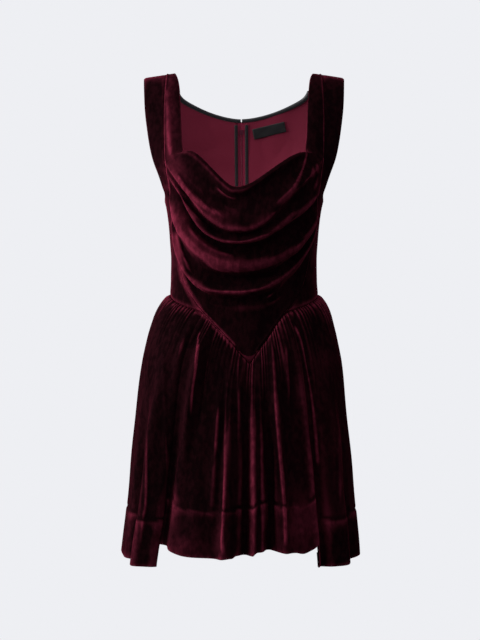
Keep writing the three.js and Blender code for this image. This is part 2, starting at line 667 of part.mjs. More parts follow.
// Skirt
const skirtHalfWidthAt = tableCurve(SKIRT_SECTIONS, 'drop', 'halfWidth');
const skirtFrontAt = tableCurve(SKIRT_SECTIONS, 'drop', 'front');
const skirtBackAt = tableCurve(SKIRT_SECTIONS, 'drop', 'back');
const skirtSwayAt = tableCurve(SKIRT_SECTIONS, 'drop', 'sway');
const frontHemAt = tableCurve(FRONT_HEM, 'angle', 'drop');
const backHemAt = tableCurve(BACK_HEM, 'angle', 'drop');

// The angle at the waist of the cloth that hangs at a hem angle, both in degrees
function waistAngle(hemAngle) {
  const size = Math.abs(hemAngle);
  if (size <= FRONT_PANEL.hem) return hemAngle * FRONT_PANEL.waist / FRONT_PANEL.hem;
  const share = (size - FRONT_PANEL.hem) / (180 - FRONT_PANEL.hem);
  return Math.sign(hemAngle) * mix(FRONT_PANEL.waist, 180, share);
}

function foldLift(hemAngle, share) {
  let lift = 0;
  for (const fold of SKIRT_FOLDS) {
    const away = (hemAngle - fold.angle) / fold.width;
    const grown = smoothStep(fold.from, fold.until, share);
    const faded = 1 - smoothStep(fold.fade - 0.35, fold.fade, share);
    lift += fold.height * grown * faded * Math.exp(-away * away);
  }
  return lift;
}

// A point of the skirt at a drop. "Folds" is how much of the folds' lift it takes.
function skirtPoint(hemAngle, drop, folds) {
  const waist = radians(waistAngle(hemAngle));
  const seamDrop = waistDrop(waist) + SEAM_GAP / 2;
  const share = clamp01((drop - seamDrop) / (MEAN_HEM - seamDrop));
  const angle = mix(waist, radians(hemAngle + HEM_TURN), share ** FAN_POWER);
  const facing = Math.cos(waist) > 0 ? -1 : 1;
  const seam = bodyPoint(waist, seamDrop, facing);
  const full = 1 - Math.exp(-(drop - seamDrop) / FLARE_LENGTH);
  const depth = Math.cos(angle) > 0 ? skirtFrontAt(drop) : skirtBackAt(drop);
  const halfWidth = skirtHalfWidthAt(drop);
  const hangX = halfWidth * Math.sin(angle) + skirtSwayAt(drop);
  const hangY = -depth * signedPower(Math.cos(angle), SECTION_POWER);
  const lift = foldLift(hemAngle + HEM_TURN, share) * folds;
  const out = new THREE.Vector2(Math.sin(angle) / halfWidth, -Math.cos(angle) / depth).normalize();
  return new THREE.Vector3(
    mix(seam.x, hangX, full) + out.x * lift,
    mix(seam.y, hangY, full) + out.y * lift,
    -drop,
  );
}

// The outer and inner points of the skirt's wall, with the gathers on both
function skirtWallPoint(hemAngle, drop, gatherPhase) {
  const turn = 0.02;
  const fall = 0.5;
  const surface = (angle, level) => skirtPoint(angle, level, 0.5);
  const across = surface(hemAngle + turn, drop).sub(surface(hemAngle - turn, drop));
  const seamDrop = waistDrop(radians(waistAngle(hemAngle))) + SEAM_GAP / 2;
  const down = surface(hemAngle, drop + fall).sub(surface(hemAngle, Math.max(seamDrop, drop - fall)));
  const normal = down.cross(across).normalize();
  const below = drop - seamDrop;
  const rising = mix(GATHERS.atSeam / GATHERS.height, 1, clamp01(below / GATHERS.rise));
  const uneven = 1 + GATHERS.unevenness * Math.sin(hemAngle * GATHERS.unevenTurn);
  const wave = Math.cos(gatherPhase) * GATHERS.height * rising * uneven * Math.exp(-below / GATHERS.length);
  const level = new THREE.Vector3(normal.x, normal.y, 0).normalize();
  const outer = skirtPoint(hemAngle, drop, 1).addScaledVector(level, wave);
  return { outer, inner: outer.clone().addScaledVector(normal, -VELVET) };
}

// The three skirt panels, by hem angle and with the hem's height
const SKIRT_PANELS = {
  front: { from: -FRONT_PANEL.hem, to: FRONT_PANEL.hem, gathers: GATHERS.front, hemAt: frontHemAt },
  left: { from: CENTRE_BACK - 360, to: -FRONT_PANEL.hem, gathers: GATHERS.back, hemAt: backHemAt },
  right: { from: FRONT_PANEL.hem, to: CENTRE_BACK, gathers: GATHERS.back, hemAt: backHemAt },
};
const HEM_STEP = backHemAt(FRONT_PANEL.hem) - frontHemAt(FRONT_PANEL.hem);

// A skirt piece from rows of drops, each worked out from the waist seam's drop and the hem's
function skirtPieceGeometry(panel, rowDrops, fineRows) {
  const fine = evenShares(panel.gathers * POINTS_PER_GATHER);
  const coarse = panel === SKIRT_PANELS.front ? fine : evenShares(panel.gathers * 2);
  const inset = THREE.MathUtils.radToDeg(SEAM_GAP / skirtFrontAt(MEAN_HEM));
  return wallFromRows(rowDrops.map((_, row) => (row <= fineRows ? fine : coarse)), (across, row) => {
    const hemAngle = mix(panel.from + inset, panel.to - inset, across);
    const hemDrop = panel.hemAt(Math.abs(hemAngle));
    const seamDrop = waistDrop(radians(waistAngle(hemAngle))) + SEAM_GAP / 2;
    const phase = 2 * Math.PI * panel.gathers * across;
    return skirtWallPoint(hemAngle, rowDrops[row](seamDrop, hemDrop), phase);
  });
}

// The back panels have one row more than the front, at the step between their hems, so that both
// sides of a panel seam have the same points
function skirtGeometry(panel) {
  const step = panel === SKIRT_PANELS.front ? 0 : HEM_STEP;
  const rows = SKIRT_SHARES.map((share) => (seamDrop, hemDrop) =>
    mix(seamDrop, hemDrop - HEM_BAND_DEPTH - step - SEAM_GAP / 2, share));
  if (step > 0) rows.push((seamDrop, hemDrop) => hemDrop - HEM_BAND_DEPTH - SEAM_GAP / 2);
  return skirtPieceGeometry(panel, rows, FINE_SKIRT_ROWS);
}

function hemBandGeometry(panel) {
  const middle = panel === SKIRT_PANELS.front ? HEM_BAND_DEPTH - HEM_STEP : HEM_STEP;
  const rows = [HEM_BAND_DEPTH - SEAM_GAP / 2, middle, 0].map((above) => (_, hemDrop) => hemDrop - above);
  return skirtPieceGeometry(panel, rows, -1);
}

// Label: a bare woven patch that lies on the lining, tilted along the neckline
function labelGeometry() {
  const columns = evenShares(6);
  const tilt = radians(LABEL.tilt);
  return wallFromRows([0, 1, 2].map(() => columns), (share, row) => {
    const along = (share - 0.5) * LABEL.width;
    const up = (0.5 - row / 2) * LABEL.height;
    const x = LABEL.x + along * Math.cos(tilt) - up * Math.sin(tilt);
    const drop = LABEL.drop - along * Math.sin(tilt) - up * Math.cos(tilt);
    return layer(Math.PI - angleAtX(x, drop), drop, 1, UNDER_LINING - LABEL.clear, LABEL.thickness);
  });
}

// Zip slider and pull, in a frame that lies on the centre back: X across, Y out and Z up the seam
const SLIDER = { halfWidth: 3, length: 8, bodyDepth: 2, stemHalf: 0.8, stemLength: 4, plateHalf: 2.2 };
const BRIDGE = { halfWidth: 0.6, opening: 4, leg: 1, rise: 2.3, roof: 0.9, plate: 1 };
const PULL = { barRadius: 0.5, thickness: 1, eyeHalf: 1.15, halfWidth: 2.4, eyeEnd: 4.8, length: 21 };
const PULL_HINGE_OUT = SEAM_GAP + BRIDGE.plate + BRIDGE.rise / 2;

function zipFrame() {
  const angle = backAngle(0, SLIDER_DROP, 1, 0);
  const out = bodyNormal(angle, SLIDER_DROP, 1);
  const frame = new THREE.Group();
  frame.position.copy(bodyPoint(angle, SLIDER_DROP, 1));
  frame.rotation.x = Math.atan2(out.z, out.y);
  return frame;
}

function block(xHalf, yFrom, yTo, zFrom, zTo) {
  const geometry = new THREE.BoxGeometry(2 * xHalf, yTo - yFrom, zTo - zFrom);
  return geometry.translate(0, (yFrom + yTo) / 2, (zFrom + zTo) / 2);
}

const wasm = await Module();
wasm.setup();

function solid(geometry) {
  const bare = geometry.clone();
  bare.deleteAttribute('normal');
  bare.deleteAttribute('uv');
  const merged = mergeVertices(bare);
  return new wasm.Manifold(new wasm.Mesh({
    numProp: 3,
    vertProperties: new Float32Array(merged.attributes.position.array),
    triVerts: new Uint32Array(merged.index.array),
  }));
}

function geometryOf(manifold) {
  const mesh = manifold.getMesh();
  const geometry = new THREE.BufferGeometry();
  geometry.setAttribute('position', new THREE.BufferAttribute(mesh.vertProperties, 3));
  geometry.setIndex(new THREE.BufferAttribute(mesh.triVerts, 1));
  return geometry;
}

// One solid: the body behind the tapes, the stem through the seam, and the bridge outside
function sliderGeometry() {
  const bodyTop = UNDER_LINING;
  const plateTop = SEAM_GAP + BRIDGE.plate;
  const legOuter = BRIDGE.opening / 2 + BRIDGE.leg;
  const roofUnder = plateTop + BRIDGE.rise;
  const overlap = 0.1;
  const parts = [
    block(SLIDER.halfWidth, bodyTop - SLIDER.bodyDepth, bodyTop, -SLIDER.length / 2, SLIDER.length / 2),
    block(SLIDER.stemHalf, bodyTop - overlap, SEAM_GAP + overlap, -SLIDER.stemLength / 2, SLIDER.stemLength / 2),
    block(SLIDER.plateHalf, SEAM_GAP, plateTop, -SLIDER.length / 2, SLIDER.length / 2),
    block(BRIDGE.halfWidth, plateTop - overlap, roofUnder + overlap, -legOuter, -BRIDGE.opening / 2),
    block(BRIDGE.halfWidth, plateTop - overlap, roofUnder + overlap, BRIDGE.opening / 2, legOuter),
    block(BRIDGE.halfWidth, roofUnder, roofUnder + BRIDGE.roof, -legOuter, legOuter),
  ];
  return geometryOf(parts.map(solid).reduce((whole, next) => whole.add(next)));
}

// The pull hangs from a round bar inside the bridge, and its eye clears the bridge as it swings
function pullGeometry() {
  const half = PULL.thickness / 2;
  const armDepth = half * 0.98;
  const outline = new THREE.Shape();
  outline.moveTo(-PULL.halfWidth, 0);
  outline.lineTo(PULL.halfWidth, 0);
  outline.lineTo(PULL.halfWidth, -PULL.eyeEnd);
  outline.lineTo(PULL.halfWidth * 1.25, -PULL.length * 0.86);
  outline.absarc(0, -PULL.length * 0.86, PULL.halfWidth * 1.25, 0, -Math.PI, true);
  outline.lineTo(-PULL.halfWidth, -PULL.eyeEnd);
  const plate = new THREE.ExtrudeGeometry(outline, {
    depth: 2 * armDepth, bevelEnabled: false, curveSegments: 8, steps: 1,
  });
  plate.translate(0, 0, -armDepth).rotateX(Math.PI / 2);
  const bar = new THREE.CylinderGeometry(PULL.barRadius, PULL.barRadius, 2 * PULL.halfWidth, 16);
  bar.rotateZ(Math.PI / 2);
  const eye = block(PULL.eyeHalf, -1, 1, -PULL.eyeEnd, 1);
  return geometryOf(solid(plate).subtract(solid(eye)).add(solid(bar)));
}

// Looks of the materials, for a plain view only
const MATERIALS = {
  velvet: { color: 0x3c0a18, roughness: 0.85, metalness: 0 },
  lining: { color: 0x5a1a2a, roughness: 0.8, metalness: 0 },
  binding: { color: 0x17151a, roughness: 0.6, metalness: 0 },
  tape: { color: 0x5c1c2e, roughness: 0.75, metalness: 0 },
  label: { color: 0x141316, roughness: 0.7, metalness: 0 },
  zipMetal: { color: 0x4a1220, roughness: 0.35, metalness: 0.6 },
};

function addPiece(parent, name, geometry, look) {
  const mesh = new THREE.Mesh(geometry, new THREE.MeshStandardMaterial(MATERIALS[look]));
  mesh.name = name;
  parent.add(mesh);
  return mesh;
}

const dress = new THREE.Group();
addPiece(dress, 'cowl_front', cowlGeometry(), 'velvet');
for (const [name, side] of [['left', -1], ['right', 1]]) {
  addPiece(dress, `side_front_${name}`, sideFrontGeometry(side), 'velvet');
  addPiece(dress, `back_${name}`, backGeometry(side), 'velvet');
  addPiece(dress, `lining_back_${name}`, liningGeometry(side), 'lining');
  addPiece(dress, `neck_binding_${name}`, neckBindingGeometry(side), 'binding');
  addPiece(dress, `zip_tape_${name}`, zipTapeGeometry(side), 'tape');
  addPiece(dress, `zip_binding_${name}`, zipBindingGeometry(side), 'binding');
  addPiece(dress, `skirt_back_${name}`, skirtGeometry(SKIRT_PANELS[name]), 'velvet');
  addPiece(dress, `hem_back_${name}`, hemBandGeometry(SKIRT_PANELS[name]), 'velvet');
}
addPiece(dress, 'skirt_front', skirtGeometry(SKIRT_PANELS.front), 'velvet');
addPiece(dress, 'hem_front', hemBandGeometry(SKIRT_PANELS.front), 'velvet');
addPiece(dress, 'label', labelGeometry(), 'label');

const zip = zipFrame();
addPiece(zip, 'zip_slider', sliderGeometry(), 'zipMetal');
const pull = addPiece(zip, 'zip_pull', pullGeometry(), 'zipMetal');
pull.position.y = PULL_HINGE_OUT;
dress.add(zip);

export default dress;
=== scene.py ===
"""Mini dress of wine silk velvet: its cloth, bindings, zip and label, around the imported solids."""
import math

import bpy
import numpy as np
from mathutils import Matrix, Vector
from mathutils.kdtree import KDTree


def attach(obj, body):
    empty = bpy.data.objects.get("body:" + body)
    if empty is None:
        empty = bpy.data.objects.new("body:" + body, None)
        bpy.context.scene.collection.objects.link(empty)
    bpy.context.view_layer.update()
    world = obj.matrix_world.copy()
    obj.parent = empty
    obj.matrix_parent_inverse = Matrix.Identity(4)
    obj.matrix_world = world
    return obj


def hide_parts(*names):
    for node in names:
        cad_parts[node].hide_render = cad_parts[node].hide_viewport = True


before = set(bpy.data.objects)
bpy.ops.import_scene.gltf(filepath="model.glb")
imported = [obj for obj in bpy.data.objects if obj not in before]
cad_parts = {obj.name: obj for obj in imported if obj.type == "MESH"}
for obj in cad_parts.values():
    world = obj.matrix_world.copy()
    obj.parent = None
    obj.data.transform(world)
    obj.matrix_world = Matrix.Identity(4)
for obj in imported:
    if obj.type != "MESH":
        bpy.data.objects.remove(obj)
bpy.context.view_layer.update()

# All sizes below are millimetres and degrees, as in the part's source
MM = 0.001
BODY = "dress"
VELVET = 1.2
LINING = 0.8
BINDING = 0.8
ZIP_TAPE = 0.6
SEAM_GAP = 0.3
# Where two pieces are sewn together, one goes this far over the other
SEWN_LAP = 0.5
EDGE_ROLL = 1.4

# The body of the dress, by its drop below the shoulders
BODY_SECTIONS = {
    "drop": [0, 3, 9, 20, 38, 75, 125, 160, 190, 212, 240, 275, 310, 345, 366, 399, 440, 480],
    "half_width": [200, 200, 199.5, 199, 198, 194, 181, 167, 147, 133, 127.5, 124, 122, 122.5, 124,
                   130, 142, 152],
    "front": [0, 15, 26, 38, 52, 74, 97, 110, 118, 121, 121, 116, 107, 97, 93, 94, 98, 103],
    "back": [0, 13, 22, 32, 44, 62, 80, 88, 91, 92, 90, 86, 81, 78, 79, 86, 96, 104],
}
SECTION_POWER = 0.8
SHOULDER = {"middle": 143, "slope": 0.16, "fade": 40}
COWL_SEAM = {
    "drop": [0, 60, 125, 160, 200, 241, 281, 317, 346, 364, 382, 397],
    "x": [131, 132, 130.5, 128, 122.5, 118.5, 112.5, 105, 98.5, 91, 79.5, 67],
}
STRAP_INNER_EDGE = {"drop": [0, 5, 15, 37, 80, 130], "x": [118, 114, 110.5, 107, 104, 101]}
ARMHOLE_EDGE = {
    "drop": [0, 57, 100, 140, 174, 190, 204, 212],
    "x": [168, 165, 160, 153, 141.5, 136, 132, 133],
}
UNDERARM_DROP = 212
WAIST = {"side": 366, "corner": 397, "corner_x": 67, "tip": 479, "tip_x": 9}

# Rows of the cowl, from the neckline to the point
COWL = {
    "end_left": [139, 140, 141.5, 145, 151, 158, 168, 184, 216, 234, 252, 286, 325, 365, 397, 432, 460],
    "end_right": [139, 139.5, 140, 141.5, 146, 164, 196, 210, 230, 239, 247, 282, 325, 365, 397, 432, 460],
    "low": [200, 206, 216, 232, 263, 273, 283, 291, 322, 343, 365, 378, 392, 410, 430, 452, 469],
    "low_x": [-5, -6, -6, -4, 0, -4, -8, -6, -2, -8, -14, -8, -3, 0, 3, 6, 8],
    "power_left": [2.2, 2.2, 2.3, 2.4, 2.6, 2.7, 2.8, 2.6, 2.1, 2.4, 2.7, 2.6, 2.4, 2.1, 2, 2, 2],
    "power_right": [2.0, 2.0, 1.9, 1.8, 1.8, 1.8, 1.75, 1.8, 2.0, 2.0, 1.95, 2.0, 2.0, 2.0, 2, 2, 2],
    "scoop": [1, 0.85, 0.6, 0.3] + [0] * 13,
    "across": [0, 0.12, 0.45, 0.75] + [1] * 13,
    "lift": [8, 11, 5, 7, 18, 8, 18, -5, 16, 2, 15, 0, 2, 0, 0, 0, 0],
}
LAST_STRAP_ROW = 4
COWL_MESH = {"bowl_columns": 161, "strap_columns": 61, "steps_a_row": 11}
LIFT_EDGE_POWER = 9
STRIP_BULGE = {"height": 2.5, "fade": 30}

SKIRT_SECTIONS = {
    "drop": [366, 410, 440, 480, 544, 628, 712, 780, 820],
    "half_width": [157, 158, 161.5, 167, 171.5, 178.5, 186, 193.5, 197],
    "front": [112, 117, 120, 125, 132, 139, 146, 151, 154],
    "back": [104, 113, 119, 125, 132, 140, 148, 153, 156],
    "sway": [0, -2.5, -3, -3.5, -4, -4, -4.5, -6, -7],
}
FLARE_LENGTH = 28
FRONT_PANEL = {"waist": 31, "hem": 42.5}
HEM_TURN = -2.6
CENTRE_BACK = 181.3
FAN_POWER = 0.7
HEM_BAND_DEPTH = 75
MEAN_HEM = 800
# How far the folds draw the front hem up, by the angle that a point of the hem hangs at
HEM_RISE = {"angle": [-30, -11, -4, -2, 5, 8, 14, 20, 27, 32, 39.7, 41.8],
            "rise": [0, 0, 1, 5, 5, 10, 11, 7, 3, -3, 6, 0]}
FRONT_HEM = {"angle": [0, 25, 42.5], "drop": [785, 782, 768]}
BACK_HEM = {"angle": [42.5, 60, 90, 130, 182], "drop": [804, 803, 799, 800, 800]}

# Folds of the skirt: hem angle, width, height, and the shares of the way down from which it grows,
# until which it grows, and at which it ends
SKIRT_FOLDS = [
    (-171, 5, 9, 0.1, 0.7, 2), (-161, 4, -8, 0.1, 0.7, 2), (-149, 6, 11, 0.05, 0.6, 2),
    (-138, 4, -9, 0.15, 0.8, 2), (-127, 5, 8, 0.1, 0.7, 2), (-113, 6, -8, 0.1, 0.7, 2),
    (-96, 7, 7, 0.1, 0.6, 2), (-71, 5, -14, 0.15, 0.8, 2), (-57, 6, 14, 0.05, 0.5, 2),
    (-48, 2.6, 4, 0, 0.15, 0.5), (-42.5, 3.4, -15, 0.1, 0.9, 2), (-34.5, 3.2, 10, 0, 0.15, 0.7),
    (-29.5, 2.2, -7, 0, 0.2, 0.55), (-24, 6, 5, 0.3, 1, 2), (-15.5, 2.4, 5, 0.1, 0.4, 0.9),
    (-8.5, 2.8, 11, 0.02, 0.5, 2), (-3.2, 1.8, 4, 0, 0.2, 0.6), (1.8, 2.2, -13, 0.15, 0.7, 2),
    (6, 2.4, 9, 0, 0.5, 2), (10.4, 1.8, 6, 0.05, 0.6, 2), (14, 2.4, -14, 0.15, 0.7, 2),
    (20.8, 3.2, 11, 0, 0.5, 2), (29, 2.4, 4, 0, 0.15, 0.5), (37.6, 3.6, 14, 0, 0.5, 2),
    (44, 3.2, -15, 0.05, 0.8, 2), (58, 7, 10, 0.1, 0.6, 2), (72, 5, -7, 0.2, 0.8, 2),
    (86, 6, 5, 0.1, 0.7, 2), (103, 6, -8, 0.1, 0.7, 2), (117, 6, 9, 0.1, 0.6, 2),
    (129, 4, -9, 0.15, 0.8, 2), (141, 6, 10, 0.05, 0.6, 2), (155, 4.5, -8, 0.1, 0.7, 2),
    (168, 5, 9, 0.1, 0.7, 2),
]
GATHERS = {"front": 30, "back": 40, "height": 1.25, "rise": 5, "length": 32}

ZIP_OPENING = {"half": 1.0, "shut_from": 70.5, "shut_at": 74}
NECK = {"depth": 70, "corner_share": 0.635, "scoop": 0.58, "power": 1.6, "corner_power": 24}
ZIP_TAPE_HALF = 8
# The last column that keeps its distance from the zip; beyond it they go by shares of the width
NEAR_ZIP = 10.4
ZIP_EDGE_BINDING = {"inner": 6.6, "outer": 11.6}
NECK_BINDING_DEPTH = 3.4
LAYER_GAP = 0.4
UNDER_PANEL = -1.7 - LAYER_GAP
UNDER_LINING = UNDER_PANEL - 1.0 - SEAM_GAP
LABEL = {"x": 44, "drop": 84, "width": 57, "height": 16.5, "tilt": 13, "thickness": 0.7}

# How deep and how wide the cloth sinks along each kind of edge
GROOVES = {
    "cowl_seam": (1.3, 1.4), "front_seam": (1.2, 2.2), "side_seam": (0.6, 2), "front_armhole": (1.6, 2.0),
    "back_armhole": (1.4, 2.0), "zip": (1.1, 1.8), "back_waist": (1.0, 2.2), "skirt_waist": (1.5, 2.5),
    "skirt_seam": (1.2, 2.4), "hem_band": (1.1, 2.2),
}
COWL_EDGE_RIDGE = {"height": 1.1, "at": 3.0, "width": 1.7}
HEM_BAND_SWELL = {"height": 0.7, "rise": 6, "length": 26}
BACK_CREASE = {"height": 0.9, "width": 7}
# Soft unevenness of each layer: its height, the length of its waves and where its random draws start
RIPPLES = {"cowl": (0.35, 42, 3), "side_front": (0.22, 55, 5), "back": (0.25, 60, 11),
           "lining": (1, 70, 21), "skirt": (0.5, 60, 31)}

# The photograph's frame, which the creases are measured in: millimetres for each pixel at the middle
# plane, the pixel that the camera looks at, and where it stands
PHOTO = {"scale": 1.68, "column": 240, "row": 320, "x": -6.7, "drop": 410, "distance": 2300}


def smooth_step(start, stop, value):
    share = np.clip((value - start) / (stop - start), 0, 1)
    return share * share * (3 - 2 * share)


def signed_power(value, power):
    return np.sign(value) * np.abs(value) ** power


def mix(a, b, share):
    return a + (b - a) * share


def table_curve(table, along, column, scale=None):
    """A smooth curve through one column of a table, read along another, that overshoots no row."""
    read = scale or (lambda value: value)
    places = read(np.asarray(table[along], float))
    values = np.asarray(table[column], float)
    widths = np.diff(places)
    rises = np.diff(values) / widths
    before = np.concatenate([rises[:1], rises])
    after = np.concatenate([rises, rises[-1:]])
    total = np.where(before * after > 0, before + after, 1)
    slopes = np.where(before * after > 0, 2 * before * after / total, 0)

    def value_at(where):
        place = np.clip(read(np.asarray(where, float)), places[0], places[-1])
        i = np.clip(np.searchsorted(places, place, side="right") - 1, 0, len(widths) - 1)
        share = (place - places[i]) / widths[i]
        blend = share * share * (3 - 2 * share)
        rise_in = widths[i] * slopes[i] * share * (1 - share) ** 2
        rise_out = widths[i] * slopes[i + 1] * share * share * (1 - share)
        return mix(values[i], values[i + 1], blend) + rise_in - rise_out

    return value_at


half_width_at = table_curve(BODY_SECTIONS, "drop", "half_width")
front_depth_at = table_curve(BODY_SECTIONS, "drop", "front", np.sqrt)
back_depth_at = table_curve(BODY_SECTIONS, "drop", "back", np.sqrt)
cowl_seam_x_at = table_curve(COWL_SEAM, "drop", "x")
strap_inner_x_at = table_curve(STRAP_INNER_EDGE, "drop", "x", np.sqrt)
armhole_x_at = table_curve(ARMHOLE_EDGE, "drop", "x")
COWL["number"] = list(range(len(COWL["low"])))
cowl_at = {column: table_curve(COWL, "number", column) for column in COWL if column != "number"}
skirt_at = {column: table_curve(SKIRT_SECTIONS, "drop", column)
            for column in SKIRT_SECTIONS if column != "drop"}
front_hem_at = table_curve(FRONT_HEM, "angle", "drop")
hem_rise_at = table_curve(HEM_RISE, "angle", "rise")
back_hem_at = table_curve(BACK_HEM, "angle", "drop")


def unit(vectors):
    return vectors / np.maximum(np.linalg.norm(vectors, axis=-1, keepdims=True), 1e-9)


def body_point(angle, drop, facing):
    """A point of the dress's body. Facing is -1 on the front and 1 on the back."""
    depth = front_depth_at(drop) if facing < 0 else back_depth_at(drop)
    x = half_width_at(drop) * np.sin(angle)
    y = depth * signed_power(-facing * np.cos(angle), SECTION_POWER) - SEWN_LAP / 2
    slope = SHOULDER["slope"] * (np.abs(x) - SHOULDER["middle"]) * np.exp(-drop / SHOULDER["fade"])
    return np.stack(np.broadcast_arrays(x, facing * y, -drop - slope), -1)


def angle_at_x(x, drop):
    return np.arcsin(np.clip(x / half_width_at(drop), -1, 1))


def body_normal(angle, drop, facing):
    turn, fall = 1e-3, 0.05
    across = body_point(angle + turn, drop, facing) - body_point(angle - turn, drop, facing)
    down = body_point(angle, drop + fall, facing) - body_point(angle, np.maximum(0, drop - fall), facing)
    return unit(np.cross(down, across))


def outer_edge_angle(drop):
    """The bodice's outer edge: the armhole, and below it the side seam."""
    return np.where(drop >= UNDERARM_DROP, math.pi / 2, angle_at_x(armhole_x_at(drop), drop))


def cowl_edge_angle(drop, side):
    """How far the cowl reaches to one side at a drop."""
    share = (drop - WAIST["corner"]) / (WAIST["tip"] - WAIST["corner"])
    point = angle_at_x(mix(side * WAIST["corner_x"], WAIST["tip_x"], share), drop)
    return np.where(drop <= WAIST["corner"], side * angle_at_x(cowl_seam_x_at(drop), drop), point)


def waist_drop(angle):
    """Where the waist seam lies at an angle round the body."""
    turned = np.arctan2(np.sin(angle), np.cos(angle))
    tip = angle_at_x(WAIST["tip_x"], WAIST["tip"])
    side = np.where(turned < tip, -1, 1)
    corner = angle_at_x(WAIST["corner_x"], WAIST["corner"])
    slope = mix(WAIST["corner"], WAIST["side"], (np.abs(turned) - corner) / (math.pi / 2 - corner))
    drop = np.full(np.shape(turned), float(WAIST["corner"]))
    for _ in range(12):
        x = half_width_at(drop) * np.sin(turned)
        share = (x - side * WAIST["corner_x"]) / (WAIST["tip_x"] - side * WAIST["corner_x"])
        drop = mix(WAIST["corner"], WAIST["tip"], np.clip(share, 0, 1))
    front = np.where(np.abs(turned) >= corner, slope, drop)
    return np.where(np.abs(turned) >= math.pi / 2, WAIST["side"], front)


# Meshes
def grid_faces(rows, columns, first=0):
    """Quads of a grid whose rows go down and whose columns go to the viewer's right on the front."""
    corner = first + np.arange(rows - 1)[:, None] * columns + np.arange(columns - 1)[None, :]
    quads = np.stack([corner, corner + columns, corner + columns + 1, corner + 1], -1)
    return quads.reshape(-1, 4).tolist()


def vertex_normals(points, faces):
    total = np.zeros_like(points)
    for size in (3, 4):
        chosen = np.array([face for face in faces if len(face) == size], int)
        if len(chosen) == 0:
            continue
        last = chosen[:, -1]
        normal = np.cross(points[chosen[:, 1]] - points[last], points[chosen[:, 2]] - points[chosen[:, 0]])
        for corner in range(size):
            np.add.at(total, chosen[:, corner], normal)
    return unit(total)


def grid_normals(grid):
    down, across = np.gradient(grid, axis=0), np.gradient(grid, axis=1)
    return unit(np.cross(down, across))


def distance_to(points, edge):
    tree = KDTree(len(edge))
    for i, spot in enumerate(edge):
        tree.insert(Vector(spot), i)
    tree.balance()
    return np.array([tree.find(Vector(spot))[2] for spot in points])


def crests(points, faces):
    """1 on the crest of a fold and 0 on flat or hollow cloth, by its height over the cloth around: a mask for
    painted highlights.
    """
    pairs = set()
    for face in faces:
        for a, b in zip(face, face[1:] + face[:1]):
            pairs.add((min(a, b), max(a, b)))
    pairs = np.array(sorted(pairs), int)
    count = np.bincount(pairs.ravel(), minlength=len(points)).astype(float)
    smooth = points.copy()
    for _ in range(CREST["reach"]):
        total = np.stack([np.bincount(pairs[:, 0], smooth[pairs[:, 1], axis], len(points))
                          + np.bincount(pairs[:, 1], smooth[pairs[:, 0], axis], len(points))
                          for axis in range(3)], -1)
        smooth = 0.5 * smooth + 0.5 * total / np.maximum(count, 1)[:, None]
    off = np.sum((points - smooth) * vertex_normals(points, faces), axis=1)
    return np.clip(off / CREST["height"], 0, 1) ** CREST["power"]


def cloth(name, points, faces, thickness, material, slot, replaces):
    """A finished piece of cloth: a smooth sheet with its thickness behind it."""
    mesh = bpy.data.meshes.new(name)
    mesh.from_pydata((np.asarray(points) * MM).tolist(), [], faces)
    if material in (BODICE_LOOK, SKIRT_LOOK):
        # The velvet's painted highlights on fold crests and along the cowl seam, and its painted highlight
        # and shade spots, kept as the crest attribute
        painted_light_mask = mesh.attributes.new("crest", "FLOAT", "POINT")
        value = crests(np.asarray(points), faces) + patches(np.asarray(points))
        painted_light_mask.data.foreach_set("value", np.clip(value, 0, 1).astype(np.float32))
    mesh.polygons.foreach_set("use_smooth", [True] * len(mesh.polygons))
    mesh.materials.append(material)
    piece = bpy.data.objects.new(name, mesh)
    bpy.context.scene.collection.objects.link(piece)
    if thickness:
        wall = piece.modifiers.new("cloth_thickness", "SOLIDIFY")
        wall.thickness = thickness * MM
        wall.offset = -1
        wall.use_quality_normals = True
    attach(piece, BODY)
    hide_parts(*replaces)
    return piece


def grid_cloth(name, grid, *finish):
    """A piece of cloth whose points are a grid."""
    return cloth(name, grid.reshape(-1, 3), grid_faces(*grid.shape[:2]), *finish)


def turned_in(grid, at, depth_rows):
    """Adds a turned-in edge to a grid: a round fold, then a layer that goes back inside."""
    radius = EDGE_ROLL
    rows = grid if at == "bottom" else grid[::-1]
    normals = grid_normals(grid)
    normals = normals if at == "bottom" else normals[::-1]
    edge, normal = rows[-1], normals[-1]
    onward = unit(rows[-1] - rows[-2])
    folds = []
    for angle in np.radians([30, 60, 90, 120, 150]):
        folds.append(edge + onward * radius * math.sin(angle) - normal * radius * (1 - math.cos(angle)))
    back = [rows[-1 - i] - normals[-1 - i] * 2 * radius for i in range(depth_rows)]
    whole = np.concatenate([rows, np.array(folds), np.array(back)])
    return whole if at == "bottom" else whole[::-1]


# Creases, measured on the photograph
def on_photo(points):
    scale = PHOTO["scale"] * (1 + points[:, 1] / PHOTO["distance"])
    column = PHOTO["column"] + (points[:, 0] - PHOTO["x"]) / scale
    row = PHOTO["row"] + (-points[:, 2] - PHOTO["drop"]) / scale
    return np.stack([column, row], -1)


def smooth_path(path, steps=6):
    """A polyline bent smoothly through its points."""
    spots = np.array([path[0], *path, path[-1]], float)
    line = []
    for i in range(1, len(spots) - 2):
        a, b, c, d = spots[i - 1:i + 3]
        for t in np.arange(steps) / steps:
            line.append(0.5 * ((2 * b) + (c - a) * t + (2 * a - 5 * b + 4 * c - d) * t * t
                               + (3 * b - a - 3 * c + d) * t ** 3))
    return np.array([*line, spots[-1]])


def near_line(spots, line):
    """Each spot's distance from a line, and its share of the way along it."""
    best = np.full(len(spots), 1e9)
    share = np.zeros(len(spots))
    lengths = np.linalg.norm(np.diff(line, axis=0), axis=1)
    starts = np.concatenate([[0], np.cumsum(lengths)])
    for i, (a, b) in enumerate(zip(line[:-1], line[1:])):
        t = np.clip(((spots - a) @ (b - a)) / max((b - a) @ (b - a), 1e-9), 0, 1)
        distance = np.linalg.norm(spots - (a + t[:, None] * (b - a)), axis=1)
        closer = distance < best
        best = np.where(closer, distance, best)
        share = np.where(closer, (starts[i] + t * lengths[i]) / starts[-1], share)
    return best, share


